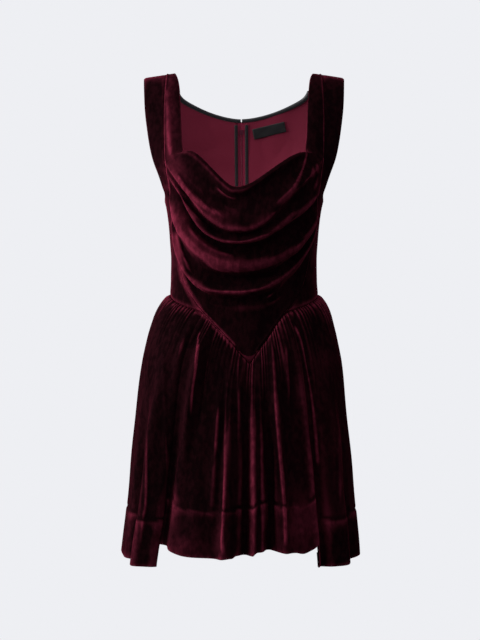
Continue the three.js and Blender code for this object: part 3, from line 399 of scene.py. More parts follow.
def creased(points, creases):
    """How far each point moves out for a list of creases: path, width, height, fades at its ends."""
    spots = on_photo(points)
    moved = np.zeros(len(points))
    for path, width, height, fade_in, fade_out in creases:
        distance, share = near_line(spots, smooth_path(path))
        ends = smooth_step(0, max(fade_in, 1e-3), share) * smooth_step(0, max(fade_out, 1e-3), 1 - share)
        moved += height * ends * np.exp(-(distance / width) ** 2)
    return moved


# Painted highlights (strength above 0) and painted shade (strength below 0) on the velvet's colour: centre,
# half width and half height on the photograph, and how strongly
PAINTED_LIGHT_SPOTS = [
    (174, 505, 5, 22, 0.35), (182, 546, 22, 9, 0.20), (303, 527, 17, 26, 0.38), (222, 538, 6, 18, 0.2),
    (252, 470, 7, 60, 0.10), (334, 530, 8, 14, 0.10), (198, 208, 14, 9, 0.12), (207, 250, 12, 7, 0.12),
    (155, 375, 36, 90, -0.75), (346, 545, 16, 24, -0.3), (184, 318, 26, 14, -0.35),
    (238, 352, 24, 12, -0.3), (300, 318, 20, 16, -0.3), (292, 225, 38, 60, -0.6),
    (314, 118, 6, 44, -0.4), (240, 265, 16, 15, -0.3), (270, 260, 32, 20, -0.32),
    (276, 284, 28, 11, -0.3), (212, 335, 24, 22, -0.25), (334, 110, 14, 50, -0.4),
    (228, 392, 16, 22, -0.3), (312, 440, 22, 60, 0.07), (240, 228, 18, 12, -0.12), (153, 120, 9, 44, -0.35),
    (169, 120, 5, 38, 0.42), (176, 170, 6, 16, 0.25), (232, 224, 16, 9, -0.12), (154, 77, 12, 4, 0.25),
    (184, 180, 8, 12, 0.12), (178, 262, 4, 40, 0.12),
]
# A painted highlight along the seam beside the cowl, as a line on the photograph, with the width of its line
# there
SEAM_PAINTED_HIGHLIGHT = [(175, 236), (180, 262), (183, 280), (188.3, 291.5), (195.9, 302.3), (202.9, 313.2), (213.8, 324),
            (223.3, 334.2), (232.9, 344.4)]
SEAM_PAINTED_HIGHLIGHT_LOOK = {"strength": 1.3, "width": 2.4}
CREST = {"reach": 22, "height": 1.0, "power": 1.5}


def patches(points):
    """Painted highlight along the cowl seam, and painted highlight and shade in spots, at each point of the
    front.
    """
    spots = on_photo(points)
    away = near_line(spots, np.array(SEAM_PAINTED_HIGHLIGHT, float))[0]
    total = SEAM_PAINTED_HIGHLIGHT_LOOK["strength"] * np.exp(-(away / SEAM_PAINTED_HIGHLIGHT_LOOK["width"]) ** 2)
    for column, row, half_width, half_height, strength in PAINTED_LIGHT_SPOTS:
        across = (spots[:, 0] - column) / half_width
        along = (spots[:, 1] - row) / half_height
        total += strength * np.exp(-across * across - along * along)
    return total * smooth_step(0, 30, -points[:, 1])


def groove(kind, away):
    """How far the cloth sinks at a distance from an edge of one kind."""
    depth, width = GROOVES[kind]
    return depth * np.exp(-(away / width) ** 2)


def ripple(kind, points, shift=0):
    """A soft unevenness from a few waves that run in different directions."""
    height, size, seed = RIPPLES[kind]
    draw = np.random.default_rng(seed + shift)
    total = np.zeros(len(points))
    for _ in range(9):
        direction = unit(draw.normal(size=3) * np.array([1, 1, 0.45]))
        length = size * draw.uniform(0.6, 1.8)
        total += np.sin(points @ direction * 2 * math.pi / length + draw.uniform(0, 6.28))
    return height * (total / 3)


# Materials
def node_tree(material):
    material.use_nodes = True
    nodes = material.node_tree.nodes
    return nodes, material.node_tree.links, nodes["Principled BSDF"]


def shader_group(name, inputs, outputs):
    group = bpy.data.node_groups.new(name, "ShaderNodeTree")
    for label, kind, value in inputs:
        socket = group.interface.new_socket(label, in_out="INPUT", socket_type="NodeSocket" + kind)
        if value is not None:
            socket.default_value = value
    for label, kind in outputs:
        group.interface.new_socket(label, in_out="OUTPUT", socket_type="NodeSocket" + kind)
    given, out = group.nodes.new("NodeGroupInput"), group.nodes.new("NodeGroupOutput")
    return group, group.nodes, group.links, given, out


def feed(links, socket, value):
    """Sets a socket to a number or colour, or links another node's output to it."""
    if isinstance(value, bpy.types.NodeSocket):
        links.new(value, socket)
    else:
        socket.default_value = value


def feed_all(links, node, values):
    for name, value in values.items():
        feed(links, node.inputs[name], value)


def math_node(nodes, links, operation, *values):
    node = nodes.new("ShaderNodeMath")
    node.operation = operation
    for socket, value in zip(node.inputs, values):
        feed(links, socket, value)
    return node.outputs[0]


def noise_node(nodes, links, vector, scale, detail, stretch=None):
    if stretch:
        mapping = nodes.new("ShaderNodeMapping")
        mapping.inputs["Scale"].default_value = stretch
        links.new(vector, mapping.inputs["Vector"])
        vector = mapping.outputs["Vector"]
    noise = nodes.new("ShaderNodeTexNoise")
    feed_all(links, noise, {"Detail": detail, "Vector": vector, "Scale": scale})
    return noise.outputs["Fac"]


def nap_group():
    """Pile that lies this way and that: a mask of rubbed patches, fine fibre and the height of both."""
    group, nodes, links, given, out = shader_group(
        "nap",
        [("Patch Scale", "Float", 22.0), ("Fibre Scale", "Float", 1500.0), ("Fibre Share", "Float", 0.35)],
        [("Mask", "Float"), ("Fibre", "Float"), ("Height", "Float")])
    place = nodes.new("ShaderNodeTexCoord").outputs["Object"]
    broad = noise_node(nodes, links, place, given.outputs["Patch Scale"], 2, (1.4, 1.4, 0.5))
    rubbed = noise_node(nodes, links, place, 120, 5, (1.2, 1.2, 0.7))
    fibre = noise_node(nodes, links, place, given.outputs["Fibre Scale"], 2, (1.0, 1.0, 0.3))
    broad_part = math_node(nodes, links, "MULTIPLY", broad, 0.55)
    both = math_node(nodes, links, "MULTIPLY_ADD", rubbed, 0.75, broad_part)
    mask = nodes.new("ShaderNodeMapRange")
    mask.interpolation_type = "SMOOTHSTEP"
    feed_all(links, mask, {"From Min": 0.52, "From Max": 0.80, "Value": both})
    height = math_node(nodes, links, "MULTIPLY", fibre, given.outputs["Fibre Share"])
    both_heights = math_node(nodes, links, "ADD", height, rubbed)
    feed_all(links, out, {"Mask": mask.outputs[0], "Fibre": fibre, "Height": both_heights})
    return group


def weave_group():
    """Threads that cross at right angles, as a height and a mask."""
    group, nodes, links, given, out = shader_group(
        "weave",
        [("Threads", "Float", 2200.0), ("Slack", "Float", 0.3)],
        [("Mask", "Float"), ("Height", "Float")])
    place = nodes.new("ShaderNodeTexCoord").outputs["Object"]
    split = nodes.new("ShaderNodeSeparateXYZ")
    links.new(place, split.inputs[0])
    waves = []
    for axis in ("X", "Z"):
        turned = math_node(nodes, links, "MULTIPLY", split.outputs[axis], given.outputs["Threads"])
        waves.append(math_node(nodes, links, "SINE", turned))
    crossed = math_node(nodes, links, "MULTIPLY", waves[0], waves[1])
    slack = noise_node(nodes, links, place, 180, 2)
    uneven = math_node(nodes, links, "MULTIPLY", slack, given.outputs["Slack"])
    height = math_node(nodes, links, "ADD", math_node(nodes, links, "MULTIPLY", crossed, 0.5), uneven)
    feed_all(links, out, {"Mask": math_node(nodes, links, "ADD", height, 0.35), "Height": height})
    return group


NAP = nap_group()
WEAVE = weave_group()


def place_group(nodes, tree, **values):
    node = nodes.new("ShaderNodeGroup")
    node.node_tree = tree
    for name, value in values.items():
        node.inputs[name.replace("_", " ")].default_value = value
    return node


def mix_colour(nodes, links, mask, dark, light):
    node = nodes.new("ShaderNodeMix")
    node.data_type = "RGBA"
    links.new(mask, node.inputs[0])
    for socket, colour in ((node.inputs[6], dark), (node.inputs[7], light)):
        feed(links, socket, (*colour, 1) if isinstance(colour, tuple) else colour)
    return node.outputs[2]


def bump(nodes, links, height, strength, distance, shader):
    node = nodes.new("ShaderNodeBump")
    feed_all(links, node, {"Strength": strength, "Distance": distance * MM, "Height": height})
    links.new(node.outputs["Normal"], shader.inputs["Normal"])


# The velvet's own dark colours and its painted highlight colours, each with the pile laid flat and rubbed up
VELVET_DEEP = ((0.0022, 0.0011, 0.0013), (0.0062, 0.0018, 0.0024))
VELVET_PAINTED_HIGHLIGHT = ((0.12, 0.013, 0.028), (0.24, 0.026, 0.055))


def velvet_material(name, painted_sheen_share, painted_light_share):
    """Silk pile: nearly black face on, with wine painted highlights on the crests of folds and painted sheen
    where it turns away.
    """
    material = bpy.data.materials.new(name)
    nodes, links, shader = node_tree(material)
    nap = place_group(nodes, NAP, Patch_Scale=16.0, Fibre_Scale=1600.0, Fibre_Share=0.2)
    facing = nodes.new("ShaderNodeLayerWeight")
    facing.inputs["Blend"].default_value = 0.3
    grazing = math_node(nodes, links, "POWER", facing.outputs["Facing"], 2.6)
    # The crest attribute paints highlights on fold crests, along the cowl seam and in spots, and paints shade
    # in spots
    crest = nodes.new("ShaderNodeAttribute")
    crest.attribute_name = "crest"
    painted_light_mask = math_node(nodes, links, "MULTIPLY_ADD", crest.outputs["Fac"], painted_light_share, 0.02)
    painted_grazing_sheen = math_node(nodes, links, "MULTIPLY", grazing, painted_sheen_share)
    # Painted highlight and painted sheen together decide how far the colour goes from the velvet's dark
    # colour to its painted highlight colour
    both = math_node(nodes, links, "ADD", painted_light_mask, painted_grazing_sheen)
    both.node.use_clamp = True
    deep = mix_colour(nodes, links, nap.outputs["Mask"], *VELVET_DEEP)
    painted_highlight_colour = mix_colour(nodes, links, nap.outputs["Mask"], *VELVET_PAINTED_HIGHLIGHT)
    feed_all(links, shader, {
        "Base Color": mix_colour(nodes, links, both, deep, painted_highlight_colour),
        "Roughness": math_node(nodes, links, "MULTIPLY_ADD", nap.outputs["Fibre"], 0.3, 0.5),
        "Sheen Weight": 0.06, "Sheen Roughness": 0.25, "Sheen Tint": (0.80, 0.07, 0.16, 1), "IOR": 1.0})
    bump(nodes, links, nap.outputs["Height"], 0.6, 1.6, shader)
    return material


def woven_material(name, dark, light, roughness, threads, sheen=0.15, strength=0.3):
    """Cloth or thread of crossed yarns, matt, between two colours."""
    material = bpy.data.materials.new(name)
    nodes, links, shader = node_tree(material)
    weave = place_group(nodes, WEAVE, Threads=threads, Slack=0.3)
    feed_all(links, shader, {
        "Base Color": mix_colour(nodes, links, weave.outputs["Mask"], dark, light),
        "Roughness": math_node(nodes, links, "MULTIPLY_ADD", weave.outputs["Mask"], -0.15, roughness + 0.1),
        "Sheen Weight": sheen, "Specular IOR Level": 0.3})
    bump(nodes, links, weave.outputs["Height"], strength, 0.25, shader)
    return material


def enamel_material():
    """Painted metal of the slider and pull, a little scuffed."""
    material = bpy.data.materials.new("zip_enamel")
    nodes, links, shader = node_tree(material)
    place = nodes.new("ShaderNodeTexCoord").outputs["Object"]
    scuffed = noise_node(nodes, links, place, 700, 4)
    feed_all(links, shader, {
        "Base Color": mix_colour(nodes, links, scuffed, (0.10, 0.012, 0.03), (0.20, 0.03, 0.07)),
        "Roughness": math_node(nodes, links, "MULTIPLY_ADD", scuffed, 0.3, 0.2), "Metallic": 0.35})
    bump(nodes, links, scuffed, 0.15, 0.1, shader)
    return material


# The bodice's velvet gets much more painted sheen than the skirt's
BODICE_LOOK = velvet_material("wine_velvet", painted_sheen_share=0.55, painted_light_share=0.64)
SKIRT_LOOK = velvet_material("wine_velvet_skirt", painted_sheen_share=0.07, painted_light_share=0.64)
LINING_LOOK = woven_material("wine_lining", (0.19, 0.010, 0.033), (0.31, 0.017, 0.055),
                             roughness=0.62, threads=5200.0, sheen=0.03)
TAPE_LOOK = woven_material("wine_tape", (0.24, 0.013, 0.044), (0.42, 0.026, 0.082),
                           roughness=0.7, threads=3600.0, sheen=0.05, strength=0.6)
BINDING_LOOK = woven_material("black_binding", (0.009, 0.008, 0.010), (0.026, 0.023, 0.028),
                              roughness=0.5, threads=4200.0)
LABEL_LOOK = woven_material("black_label", (0.008, 0.008, 0.009), (0.020, 0.019, 0.021),
                            roughness=0.5, threads=6000.0, strength=0.5)
THREAD_LOOK = woven_material("black_thread", (0.004, 0.0038, 0.005), (0.02, 0.018, 0.022),
                             roughness=0.5, threads=9000.0)
TEETH_LOOK = woven_material("wine_teeth", (0.22, 0.02, 0.05), (0.36, 0.045, 0.10),
                            roughness=0.45, threads=3000.0, sheen=0)
ENAMEL_LOOK = enamel_material()


# Cowl front
# Each crease: its line on the photograph, width in its pixels, height, and the shares over which its two
# ends fade
COWL_CREASES = [
    ([(167.5, 86), (168, 110), (169, 132), (171, 150), (176, 168)], 2.8, 3.0, 0.1, 0.3),
    ([(176, 172), (184, 186), (196, 199), (212, 211), (228, 217)], 1.6, 1.8, 0.2, 0.4),
    ([(178, 190), (188, 203), (203, 218), (220, 230), (236, 235)], 2.0, -2.4, 0.2, 0.3),
    ([(173, 160), (179, 172), (190, 186), (203, 198), (218, 206)], 1.8, -1.4, 0.2, 0.5),
    ([(214, 184), (223, 193), (232, 198), (243, 199)], 2.4, 2.8, 0.3, 0.4),
    ([(219, 198), (230, 205), (244, 206)], 2.2, -2.4, 0.3, 0.4),
    ([(272, 206), (285, 197), (296, 184), (303, 168), (307, 150)], 1.5, 2.4, 0.3, 0.1),
    ([(270, 214), (286, 204), (299, 190), (308, 172)], 2.6, -2.2, 0.3, 0.3),
    ([(262, 238), (276, 232), (290, 223), (304, 209)], 3.0, -3.2, 0.3, 0.3),
    ([(183, 223), (195, 236), (208, 247), (222, 254), (241, 258)], 1.8, 1.7, 0.3, 0.4),
    ([(205, 262), (217, 268), (232, 272)], 2.4, 1.6, 0.4, 0.4),
    ([(263, 300), (274, 292), (285, 279)], 1.7, 2.2, 0.3, 0.3),
    ([(266, 303), (278, 295), (289, 281)], 1.7, -2.0, 0.3, 0.3),
    ([(288, 262), (299, 248), (309, 234), (316, 222)], 2.0, 2.4, 0.3, 0.2),
    ([(176, 226), (179, 240), (183, 255), (189, 268), (197, 279)], 1.5, 1.8, 0.2, 0.4),
    ([(311, 158), (313, 171), (311, 186)], 2.2, 1.7, 0.5, 0.3),
    ([(316, 160), (317, 176), (313, 194)], 1.8, 1.6, 0.2, 0.3),
]


def cowl_place(across, row):
    """The angle, drop and lift of a cowl point: -1 to 1 over the bust, and on to -2 and 2 up the straps."""
    side = np.where(across < 0, -1, 1)
    reach = np.abs(across)
    end = np.where(side < 0, cowl_at["end_left"](row), cowl_at["end_right"](row))
    power = np.where(side < 0, cowl_at["power_left"](row), cowl_at["power_right"](row))
    low = cowl_at["low"](row)
    strip = cowl_at["across"](row)

    def strip_angle(drop):
        seam = cowl_edge_angle(drop, side) + side * SEWN_LAP / 2 / half_width_at(drop)
        return mix(side * angle_at_x(strap_inner_x_at(drop), drop), seam, strip)

    bulge = STRIP_BULGE["height"] * np.sin(math.pi * strip)
    strap_drop = end * np.clip(2 - reach, 0, 1) ** 2
    strap_lift = bulge * (1 - np.exp(-strap_drop / STRIP_BULGE["fade"]))
    low_angle = angle_at_x(cowl_at["low_x"](row), low)
    angle = mix(low_angle, strip_angle(end), reach)
    hanging = np.minimum(reach, 1) ** power
    scooped = np.where(side < 0, smooth_step(0.12, 0.86, reach), smooth_step(-0.04, 1.02, reach))
    drop = mix(low, end, mix(hanging, scooped, cowl_at["scoop"](row)))
    lift = mix(cowl_at["lift"](row), bulge, np.minimum(reach, 1) ** LIFT_EDGE_POWER)
    up = reach > 1
    return (np.where(up, strip_angle(strap_drop), angle), np.where(up, strap_drop, drop),
            np.where(up, strap_lift, lift))


def cowl_mesh():
    """The cowl's points and faces, and the points of its seams."""
    bowl = 2 * np.linspace(0, 1, COWL_MESH["bowl_columns"]) - 1
    bowl = np.sign(bowl) * (1 - (1 - np.abs(bowl)) ** 1.2)
    strap = 1 + np.linspace(0, 1, COWL_MESH["strap_columns"])[1:] ** 0.8
    last_row = len(COWL["low"]) - 1
    rows = np.linspace(0, last_row, last_row * COWL_MESH["steps_a_row"] + 1)
    strap_rows = rows[rows <= LAST_STRAP_ROW + 1e-9]
    across = np.concatenate([-strap[::-1], bowl, strap])

    def points_at(share, row):
        angle, drop, lift = cowl_place(share, row)
        return body_point(angle, drop, -1) + body_normal(angle, drop, -1) * lift[..., None]

    upper = points_at(across[None, :] + 0 * strap_rows[:, None], strap_rows[:, None] + 0 * across[None, :])
    upper = turned_in(upper, "top", 9)
    lower_rows = rows[rows > LAST_STRAP_ROW + 1e-9]
    lower = points_at(bowl[None, :] + 0 * lower_rows[:, None], lower_rows[:, None] + 0 * bowl[None, :])
    wide, high, narrow = upper.shape[1], upper.shape[0], len(bowl)
    points = np.concatenate([upper.reshape(-1, 3), lower.reshape(-1, 3)])
    faces = grid_faces(high, wide)
    first_lower = high * wide
    last_upper = (high - 1) * wide + len(strap)
    for j in range(narrow - 1):
        faces.append([last_upper + j, first_lower + j, first_lower + j + 1, last_upper + j + 1])
    faces += grid_faces(len(lower_rows), narrow, first_lower)
    tip_angle = angle_at_x(WAIST["tip_x"], WAIST["tip"])
    tip = body_point(tip_angle, np.array(WAIST["tip"] + 0.2), -1)
    points = np.concatenate([points, tip[None]])
    last = first_lower + (len(lower_rows) - 1) * narrow
    for j in range(narrow - 1):
        faces.append([last + j, len(points) - 1, last + j + 1])
    strap_edges = [upper[-1, :len(strap) + 1], upper[-1, -len(strap) - 1:]]
    return points, faces, np.concatenate([*strap_edges, lower[:, 0], lower[:, -1], [tip]])


def build_cowl():
    points, faces, seam = cowl_mesh()
    normals = vertex_normals(points, faces)
    away = distance_to(points, seam)
    moved = creased(points, COWL_CREASES) * smooth_step(0, 6, away)
    moved += ripple("cowl", points) * smooth_step(0, 12, away)
    beside = (away - COWL_EDGE_RIDGE["at"]) / COWL_EDGE_RIDGE["width"]
    moved += COWL_EDGE_RIDGE["height"] * np.exp(-beside ** 2) - groove("cowl_seam", away)
    points = points + normals * moved[:, None]
    piece = cloth("velvet_cowl_front", points, faces, VELVET, BODICE_LOOK, "velvet", ["cowl_front"])


# Side front
def build_side_front(name, side):
    levels = np.linspace(0, 1, 150)[:, None] ** 1.25
    across = np.linspace(0, 1, 44)[None, :]
    outer_drop = levels * WAIST["side"] + 0 * across
    seam_drop = levels * WAIST["corner"]
    drop = mix(seam_drop + 0 * across, outer_drop, across)
    seam = np.abs(cowl_edge_angle(np.minimum(seam_drop, WAIST["corner"]), side))
    inset = -SEWN_LAP / 2 / half_width_at(drop)
    angle = side * mix(seam + inset, outer_edge_angle(outer_drop), across)
    grid = body_point(angle, drop, -1)
    grid = grid if side > 0 else grid[:, ::-1]
    normals = grid_normals(grid)
    flat = grid.reshape(-1, 3)
    seam_column = grid[:, 0] if side > 0 else grid[:, -1]
    other = grid[:, -1] if side > 0 else grid[:, 0]
    below_arm = other[outer_drop[:, -1] > UNDERARM_DROP]
    away = distance_to(flat, np.concatenate([seam_column, grid[-1]]))
    away_side = distance_to(flat, below_arm)
    moved = ripple("side_front", flat, side) * smooth_step(0, 12, np.minimum(away, away_side))
    moved -= groove("front_seam", away) + groove("side_seam", away_side)
    moved -= groove("front_armhole", distance_to(flat, other[outer_drop[:, -1] < UNDERARM_DROP]))
    points = grid + normals * moved.reshape(grid.shape[:2])[..., None]
    piece = grid_cloth(f"velvet_side_front_{name}", points, VELVET, BODICE_LOOK, "velvet",
                       [f"side_front_{name}"])


# Back, its lining and the bindings
def back_top_drop(share):
    along = np.clip(share / NECK["corner_share"], 0, 1)
    scoop = NECK["scoop"] * along ** NECK["power"]
    corner = (1 - NECK["scoop"]) * along ** NECK["corner_power"]
    return NECK["depth"] * (1 - scoop - corner)


def back_angle(share, drop, side, inset):
    centre = math.radians(CENTRE_BACK if side > 0 else CENTRE_BACK - 360)
    start = centre - side * inset / half_width_at(drop)
    return mix(start, side * (math.pi - outer_edge_angle(drop)), share)


def zip_half_gap(drop):
    shut = smooth_step(ZIP_OPENING["shut_from"], ZIP_OPENING["shut_at"], drop)
    return mix(ZIP_OPENING["half"], -SEWN_LAP / 2, shut)


def back_sheet(side, columns, top, rows=130, start=0.0):
    """A layer of the back as a grid of points: columns are pairs of a distance and a share."""
    level = mix(start, 1, np.linspace(0, 1, rows)[:, None] ** 1.3)
    distance = np.array([column[0] for column in columns], float)[None, :]
    share = np.array([column[1] for column in columns], float)[None, :]
    drop = mix(back_top_drop(share), WAIST["side"], level)
    angle = back_angle(share, drop, side, np.maximum(distance, zip_half_gap(drop)))
    grid = body_point(angle, drop, 1) + body_normal(angle, drop, 1) * top
    return grid if side < 0 else grid[:, ::-1]


def near_zip(count, last):
    return [(distance, 0) for distance in np.linspace(0, last, count)]


BACK_CREASES = {
    -1: [((-70, -330), (-96, -352)), ((-60, -300), (-88, -318)), ((-104, -215), (-84, -232))],
    1: [((66, -326), (94, -350)), ((58, -296), (84, -312)), ((106, -212), (82, -230))],
}


def build_back(name, side):
    columns = near_zip(6, NEAR_ZIP) + [(0, share) for share in np.linspace(0.1, 1, 70)]
    grid = back_sheet(side, columns, 0)
    normals = grid_normals(grid)
    flat = grid.reshape(-1, 3)
    zip_edge = grid[:, 0] if side < 0 else grid[:, -1]
    outer = grid[:, -1] if side < 0 else grid[:, 0]
    arm = outer[-outer[:, 2] < UNDERARM_DROP]
    low = outer[-outer[:, 2] >= UNDERARM_DROP]
    moved = ripple("back", flat) * smooth_step(0, 12, distance_to(flat, low))
    for a, b in BACK_CREASES[side]:
        distance, share = near_line(flat[:, [0, 2]], np.array([a, b], float))
        swell = BACK_CREASE["height"] * np.sin(math.pi * np.clip(share, 0.02, 0.98))
        moved += swell * np.exp(-(distance / BACK_CREASE["width"]) ** 2)
    edges = {"zip": zip_edge, "side_seam": low, "back_armhole": arm, "back_waist": grid[-1]}
    for kind, edge in edges.items():
        moved -= groove(kind, distance_to(flat, edge))
    points = grid + normals * moved.reshape(grid.shape[:2])[..., None]
    piece = grid_cloth(f"velvet_back_{name}", points, VELVET, BODICE_LOOK, "velvet", [f"back_{name}"])


def build_lining(name, side):
    first = ZIP_TAPE_HALF + SEAM_GAP
    columns = [(first, 0), (first + 1.2, 0), (NEAR_ZIP, 0)]
    columns += [(0, share) for share in np.linspace(0.1, 0.985, 60)]
    grid = back_sheet(side, columns, UNDER_PANEL, 110)
    moved = -0.3 - 0.5 * np.abs(ripple("lining", grid.reshape(-1, 3), side))
    points = grid + grid_normals(grid) * moved.reshape(grid.shape[:2])[..., None]
    piece = grid_cloth(f"lining_{name}", points, LINING, LINING_LOOK, "lining", [f"lining_back_{name}"])


def build_zip_tape(name, side):
    grid = back_sheet(side, near_zip(9, ZIP_TAPE_HALF), UNDER_PANEL, 150)
    piece = grid_cloth(f"zip_tape_woven_{name}", grid, ZIP_TAPE, TAPE_LOOK, "zip_tape", [f"zip_tape_{name}"])


def strip_under(side, inner, outer, top, crown, start_drop):
    """A narrow strip beside the zip, a little crowned across."""
    start = (start_drop - NECK["depth"]) / (WAIST["side"] - NECK["depth"])
    columns = [(distance, 0) for distance in np.linspace(inner, outer, 7)]
    grid = back_sheet(side, columns, top, 150, start)
    hump = np.sin(np.linspace(0, math.pi, 7))[None, :, None] * crown
    return grid - grid_normals(grid) * hump


def build_zip_binding(name, side):
    grid = strip_under(side, ZIP_EDGE_BINDING["inner"], ZIP_EDGE_BINDING["outer"], UNDER_LINING - 0.2, 0.5,
                       NECK["depth"] + 6)
    piece = grid_cloth(f"zip_edge_binding_{name}", grid, BINDING, BINDING_LOOK, "binding",
                       [f"zip_binding_{name}"])


def neck_edge(side, along):
    """Points on the back neck edge with the direction beyond it and the way out."""
    share = along * NECK["corner_share"]

    def spot(at):
        drop = np.maximum(back_top_drop(at), 0)
        return body_point(back_angle(at, drop, side, ZIP_OPENING["half"]), drop, 1)

    step = 1e-3
    drop = np.maximum(back_top_drop(share), 0)
    angle = back_angle(share, drop, side, ZIP_OPENING["half"])
    ahead = spot(np.minimum(share + step, NECK["corner_share"])) - spot(np.maximum(share - step, 0))
    normal = body_normal(angle, drop, 1)
    beyond = unit(np.cross(ahead, normal)) * side
    return spot(share), beyond, normal


def neck_binding_faces(along):
    """How far the binding's outside and inside stand from the velvet, a little looser at its outer end."""
    loose = 1.2 * smooth_step(0.4, 0.9, along)
    return SEAM_GAP + BINDING + loose, UNDER_LINING - BINDING - loose


def build_neck_binding(name, side):
    along = 0.95 * (1 - (1 - np.linspace(0, 1, 90)) ** 1.25)
    here, beyond, normal = neck_edge(side, along)
    outside, inside = neck_binding_faces(along)
    grid = []
    for t in np.linspace(0, 1, 7)[:-1]:
        past = mix(-NECK_BINDING_DEPTH, 0, t)
        grid.append(here + beyond * past + normal * (outside - 0.5 * (1 - t) ** 3)[:, None])
    middle, radius = (outside + inside) / 2, (outside - inside) / 2
    for angle in np.linspace(0, math.pi, 9):
        grid.append(here + beyond * (1.2 * math.sin(angle) * radius * 0.75 + 0.2)[:, None]
                    + normal * (middle + radius * math.cos(angle))[:, None])
    for t in np.linspace(0, 1, 7)[1:]:
        past = mix(0, -NECK_BINDING_DEPTH, t)
        grid.append(here + beyond * past + normal * (inside + 0.5 * t ** 3)[:, None])
    grid = np.array(grid)
    grid = grid if side > 0 else grid[:, ::-1]
    piece = grid_cloth(f"neck_edge_binding_{name}", grid, BINDING, BINDING_LOOK, "binding",
                       [f"neck_binding_{name}"])


# Skirt
def waist_angle(hem_angle):
    size = np.abs(hem_angle)
    front = hem_angle * FRONT_PANEL["waist"] / FRONT_PANEL["hem"]
    share = (size - FRONT_PANEL["hem"]) / (180 - FRONT_PANEL["hem"])
    back = np.sign(hem_angle) * mix(FRONT_PANEL["waist"], 180, share)
    return np.where(size <= FRONT_PANEL["hem"], front, back)


def fold_lift(hem_angle, share):
    lift = 0
    for angle, width, height, start, until, fade in SKIRT_FOLDS:
        grown = smooth_step(start, until, share)
        faded = 1 - smooth_step(fade - 0.35, fade, share)
        away = (hem_angle - angle + 180) % 360 - 180
        lift = lift + height * grown * faded * np.exp(-(away / width) ** 2)
    return lift


def skirt_point(hem_angle, drop):
    waist = np.radians(waist_angle(hem_angle))
    seam_drop = waist_drop(waist) - SEWN_LAP / 2
    share = np.clip((drop - seam_drop) / (MEAN_HEM - seam_drop), 0, 1)
    angle = mix(waist, np.radians(hem_angle + HEM_TURN), share ** FAN_POWER)
    front_seam, back_seam = body_point(waist, seam_drop, -1), body_point(waist, seam_drop, 1)
    seam = np.where((np.cos(waist) > 0)[..., None], front_seam, back_seam)
    full = 1 - np.exp(-(drop - seam_drop) / FLARE_LENGTH)
    depth = np.where(np.cos(angle) > 0, skirt_at["front"](drop), skirt_at["back"](drop))
    width = skirt_at["half_width"](drop)
    hang_x = width * np.sin(angle) + skirt_at["sway"](drop)
    hang_y = -depth * signed_power(np.cos(angle), SECTION_POWER)
    lift = fold_lift(hem_angle + HEM_TURN, share)
    out = unit(np.stack([np.sin(angle) / width, -np.cos(angle) / depth], -1))
    x = mix(seam[..., 0], hang_x, full) + out[..., 0] * lift
    y = mix(seam[..., 1], hang_y, full) + out[..., 1] * lift
    return np.stack([x, y, -drop + 0 * x], -1)


def gather_wave(across, below, gathers, seed):
    """Uneven gathers: broad ridges with narrow valleys, some short and some long."""
    draw = np.random.default_rng(seed)
    turns = across * gathers
    for _ in range(4):
        height, waves, start = draw.uniform(0.12, 0.3), draw.uniform(3, 9), draw.uniform(0, 6)
        turns = turns + height * np.sin(across * 2 * math.pi * waves + start)
    number = np.floor(turns + 0.5).astype(int)
    strength = draw.uniform(0.45, 1.35, gathers * 3)[number % (gathers * 3)]
    reach = draw.uniform(0.5, 2.0, gathers * 3)[(number * 7) % (gathers * 3)]
    wave = 2 * np.abs(np.sin(math.pi * turns + math.pi / 2)) ** 0.8 - 1
    wave = wave * smooth_step(0, 0.5 / gathers, np.minimum(across, 1 - across))
    rising = mix(0.35, 1, np.clip(below / GATHERS["rise"], 0, 1))
    return wave * GATHERS["height"] * strength * rising * np.exp(-below / (GATHERS["length"] * reach))


# The finer folds of the skirt front, and the hollows between them
SKIRT_CREASES = [
    ([(150, 340), (148, 390), (147, 440), (146, 500), (143, 520), (140, 552)], 1.8, 1.3, 0.1, 0.2),
    ([(163, 330), (165, 400), (167, 480)], 2.0, 1.2, 0.2, 0.3),
    ([(205, 322), (197, 335), (190, 347)], 1.5, -1.8, 0.2, 0.3),
    ([(200, 326), (196, 365), (192, 395), (190, 430)], 1.6, 2.4, 0.1, 0.4),
    ([(219, 400), (217, 430), (215, 460)], 1.8, 1.4, 0.3, 0.3),
    ([(228, 367), (226, 420), (224, 500), (222, 540), (224, 556)], 1.7, 2.0, 0.1, 0.05),
    ([(238, 352), (238, 380), (238, 415)], 1.5, 1.6, 0.2, 0.4),
    ([(245, 420), (245, 480), (245, 550)], 3.0, -2.2, 0.2, 0.1),
    ([(252, 385), (252, 450), (252, 530)], 3.0, 1.3, 0.2, 0.3),
    ([(265, 400), (266, 470), (266, 540)], 1.8, 1.8, 0.2, 0.2),
    ([(271, 430), (272, 490), (273, 550)], 2.2, -1.8, 0.2, 0.1),
    ([(272, 332), (277, 420), (284, 500), (286, 550)], 1.8, 2.1, 0.1, 0.05),
    ([(285, 340), (288, 375), (290, 410)], 1.5, 1.6, 0.2, 0.4),
    ([(292, 320), (300, 340), (305, 365), (311, 395), (315, 430), (318, 470)], 1.7, 2.2, 0.1, 0.1),
    ([(338, 410), (340, 460), (341, 510)], 2.0, 1.5, 0.3, 0.3),
]


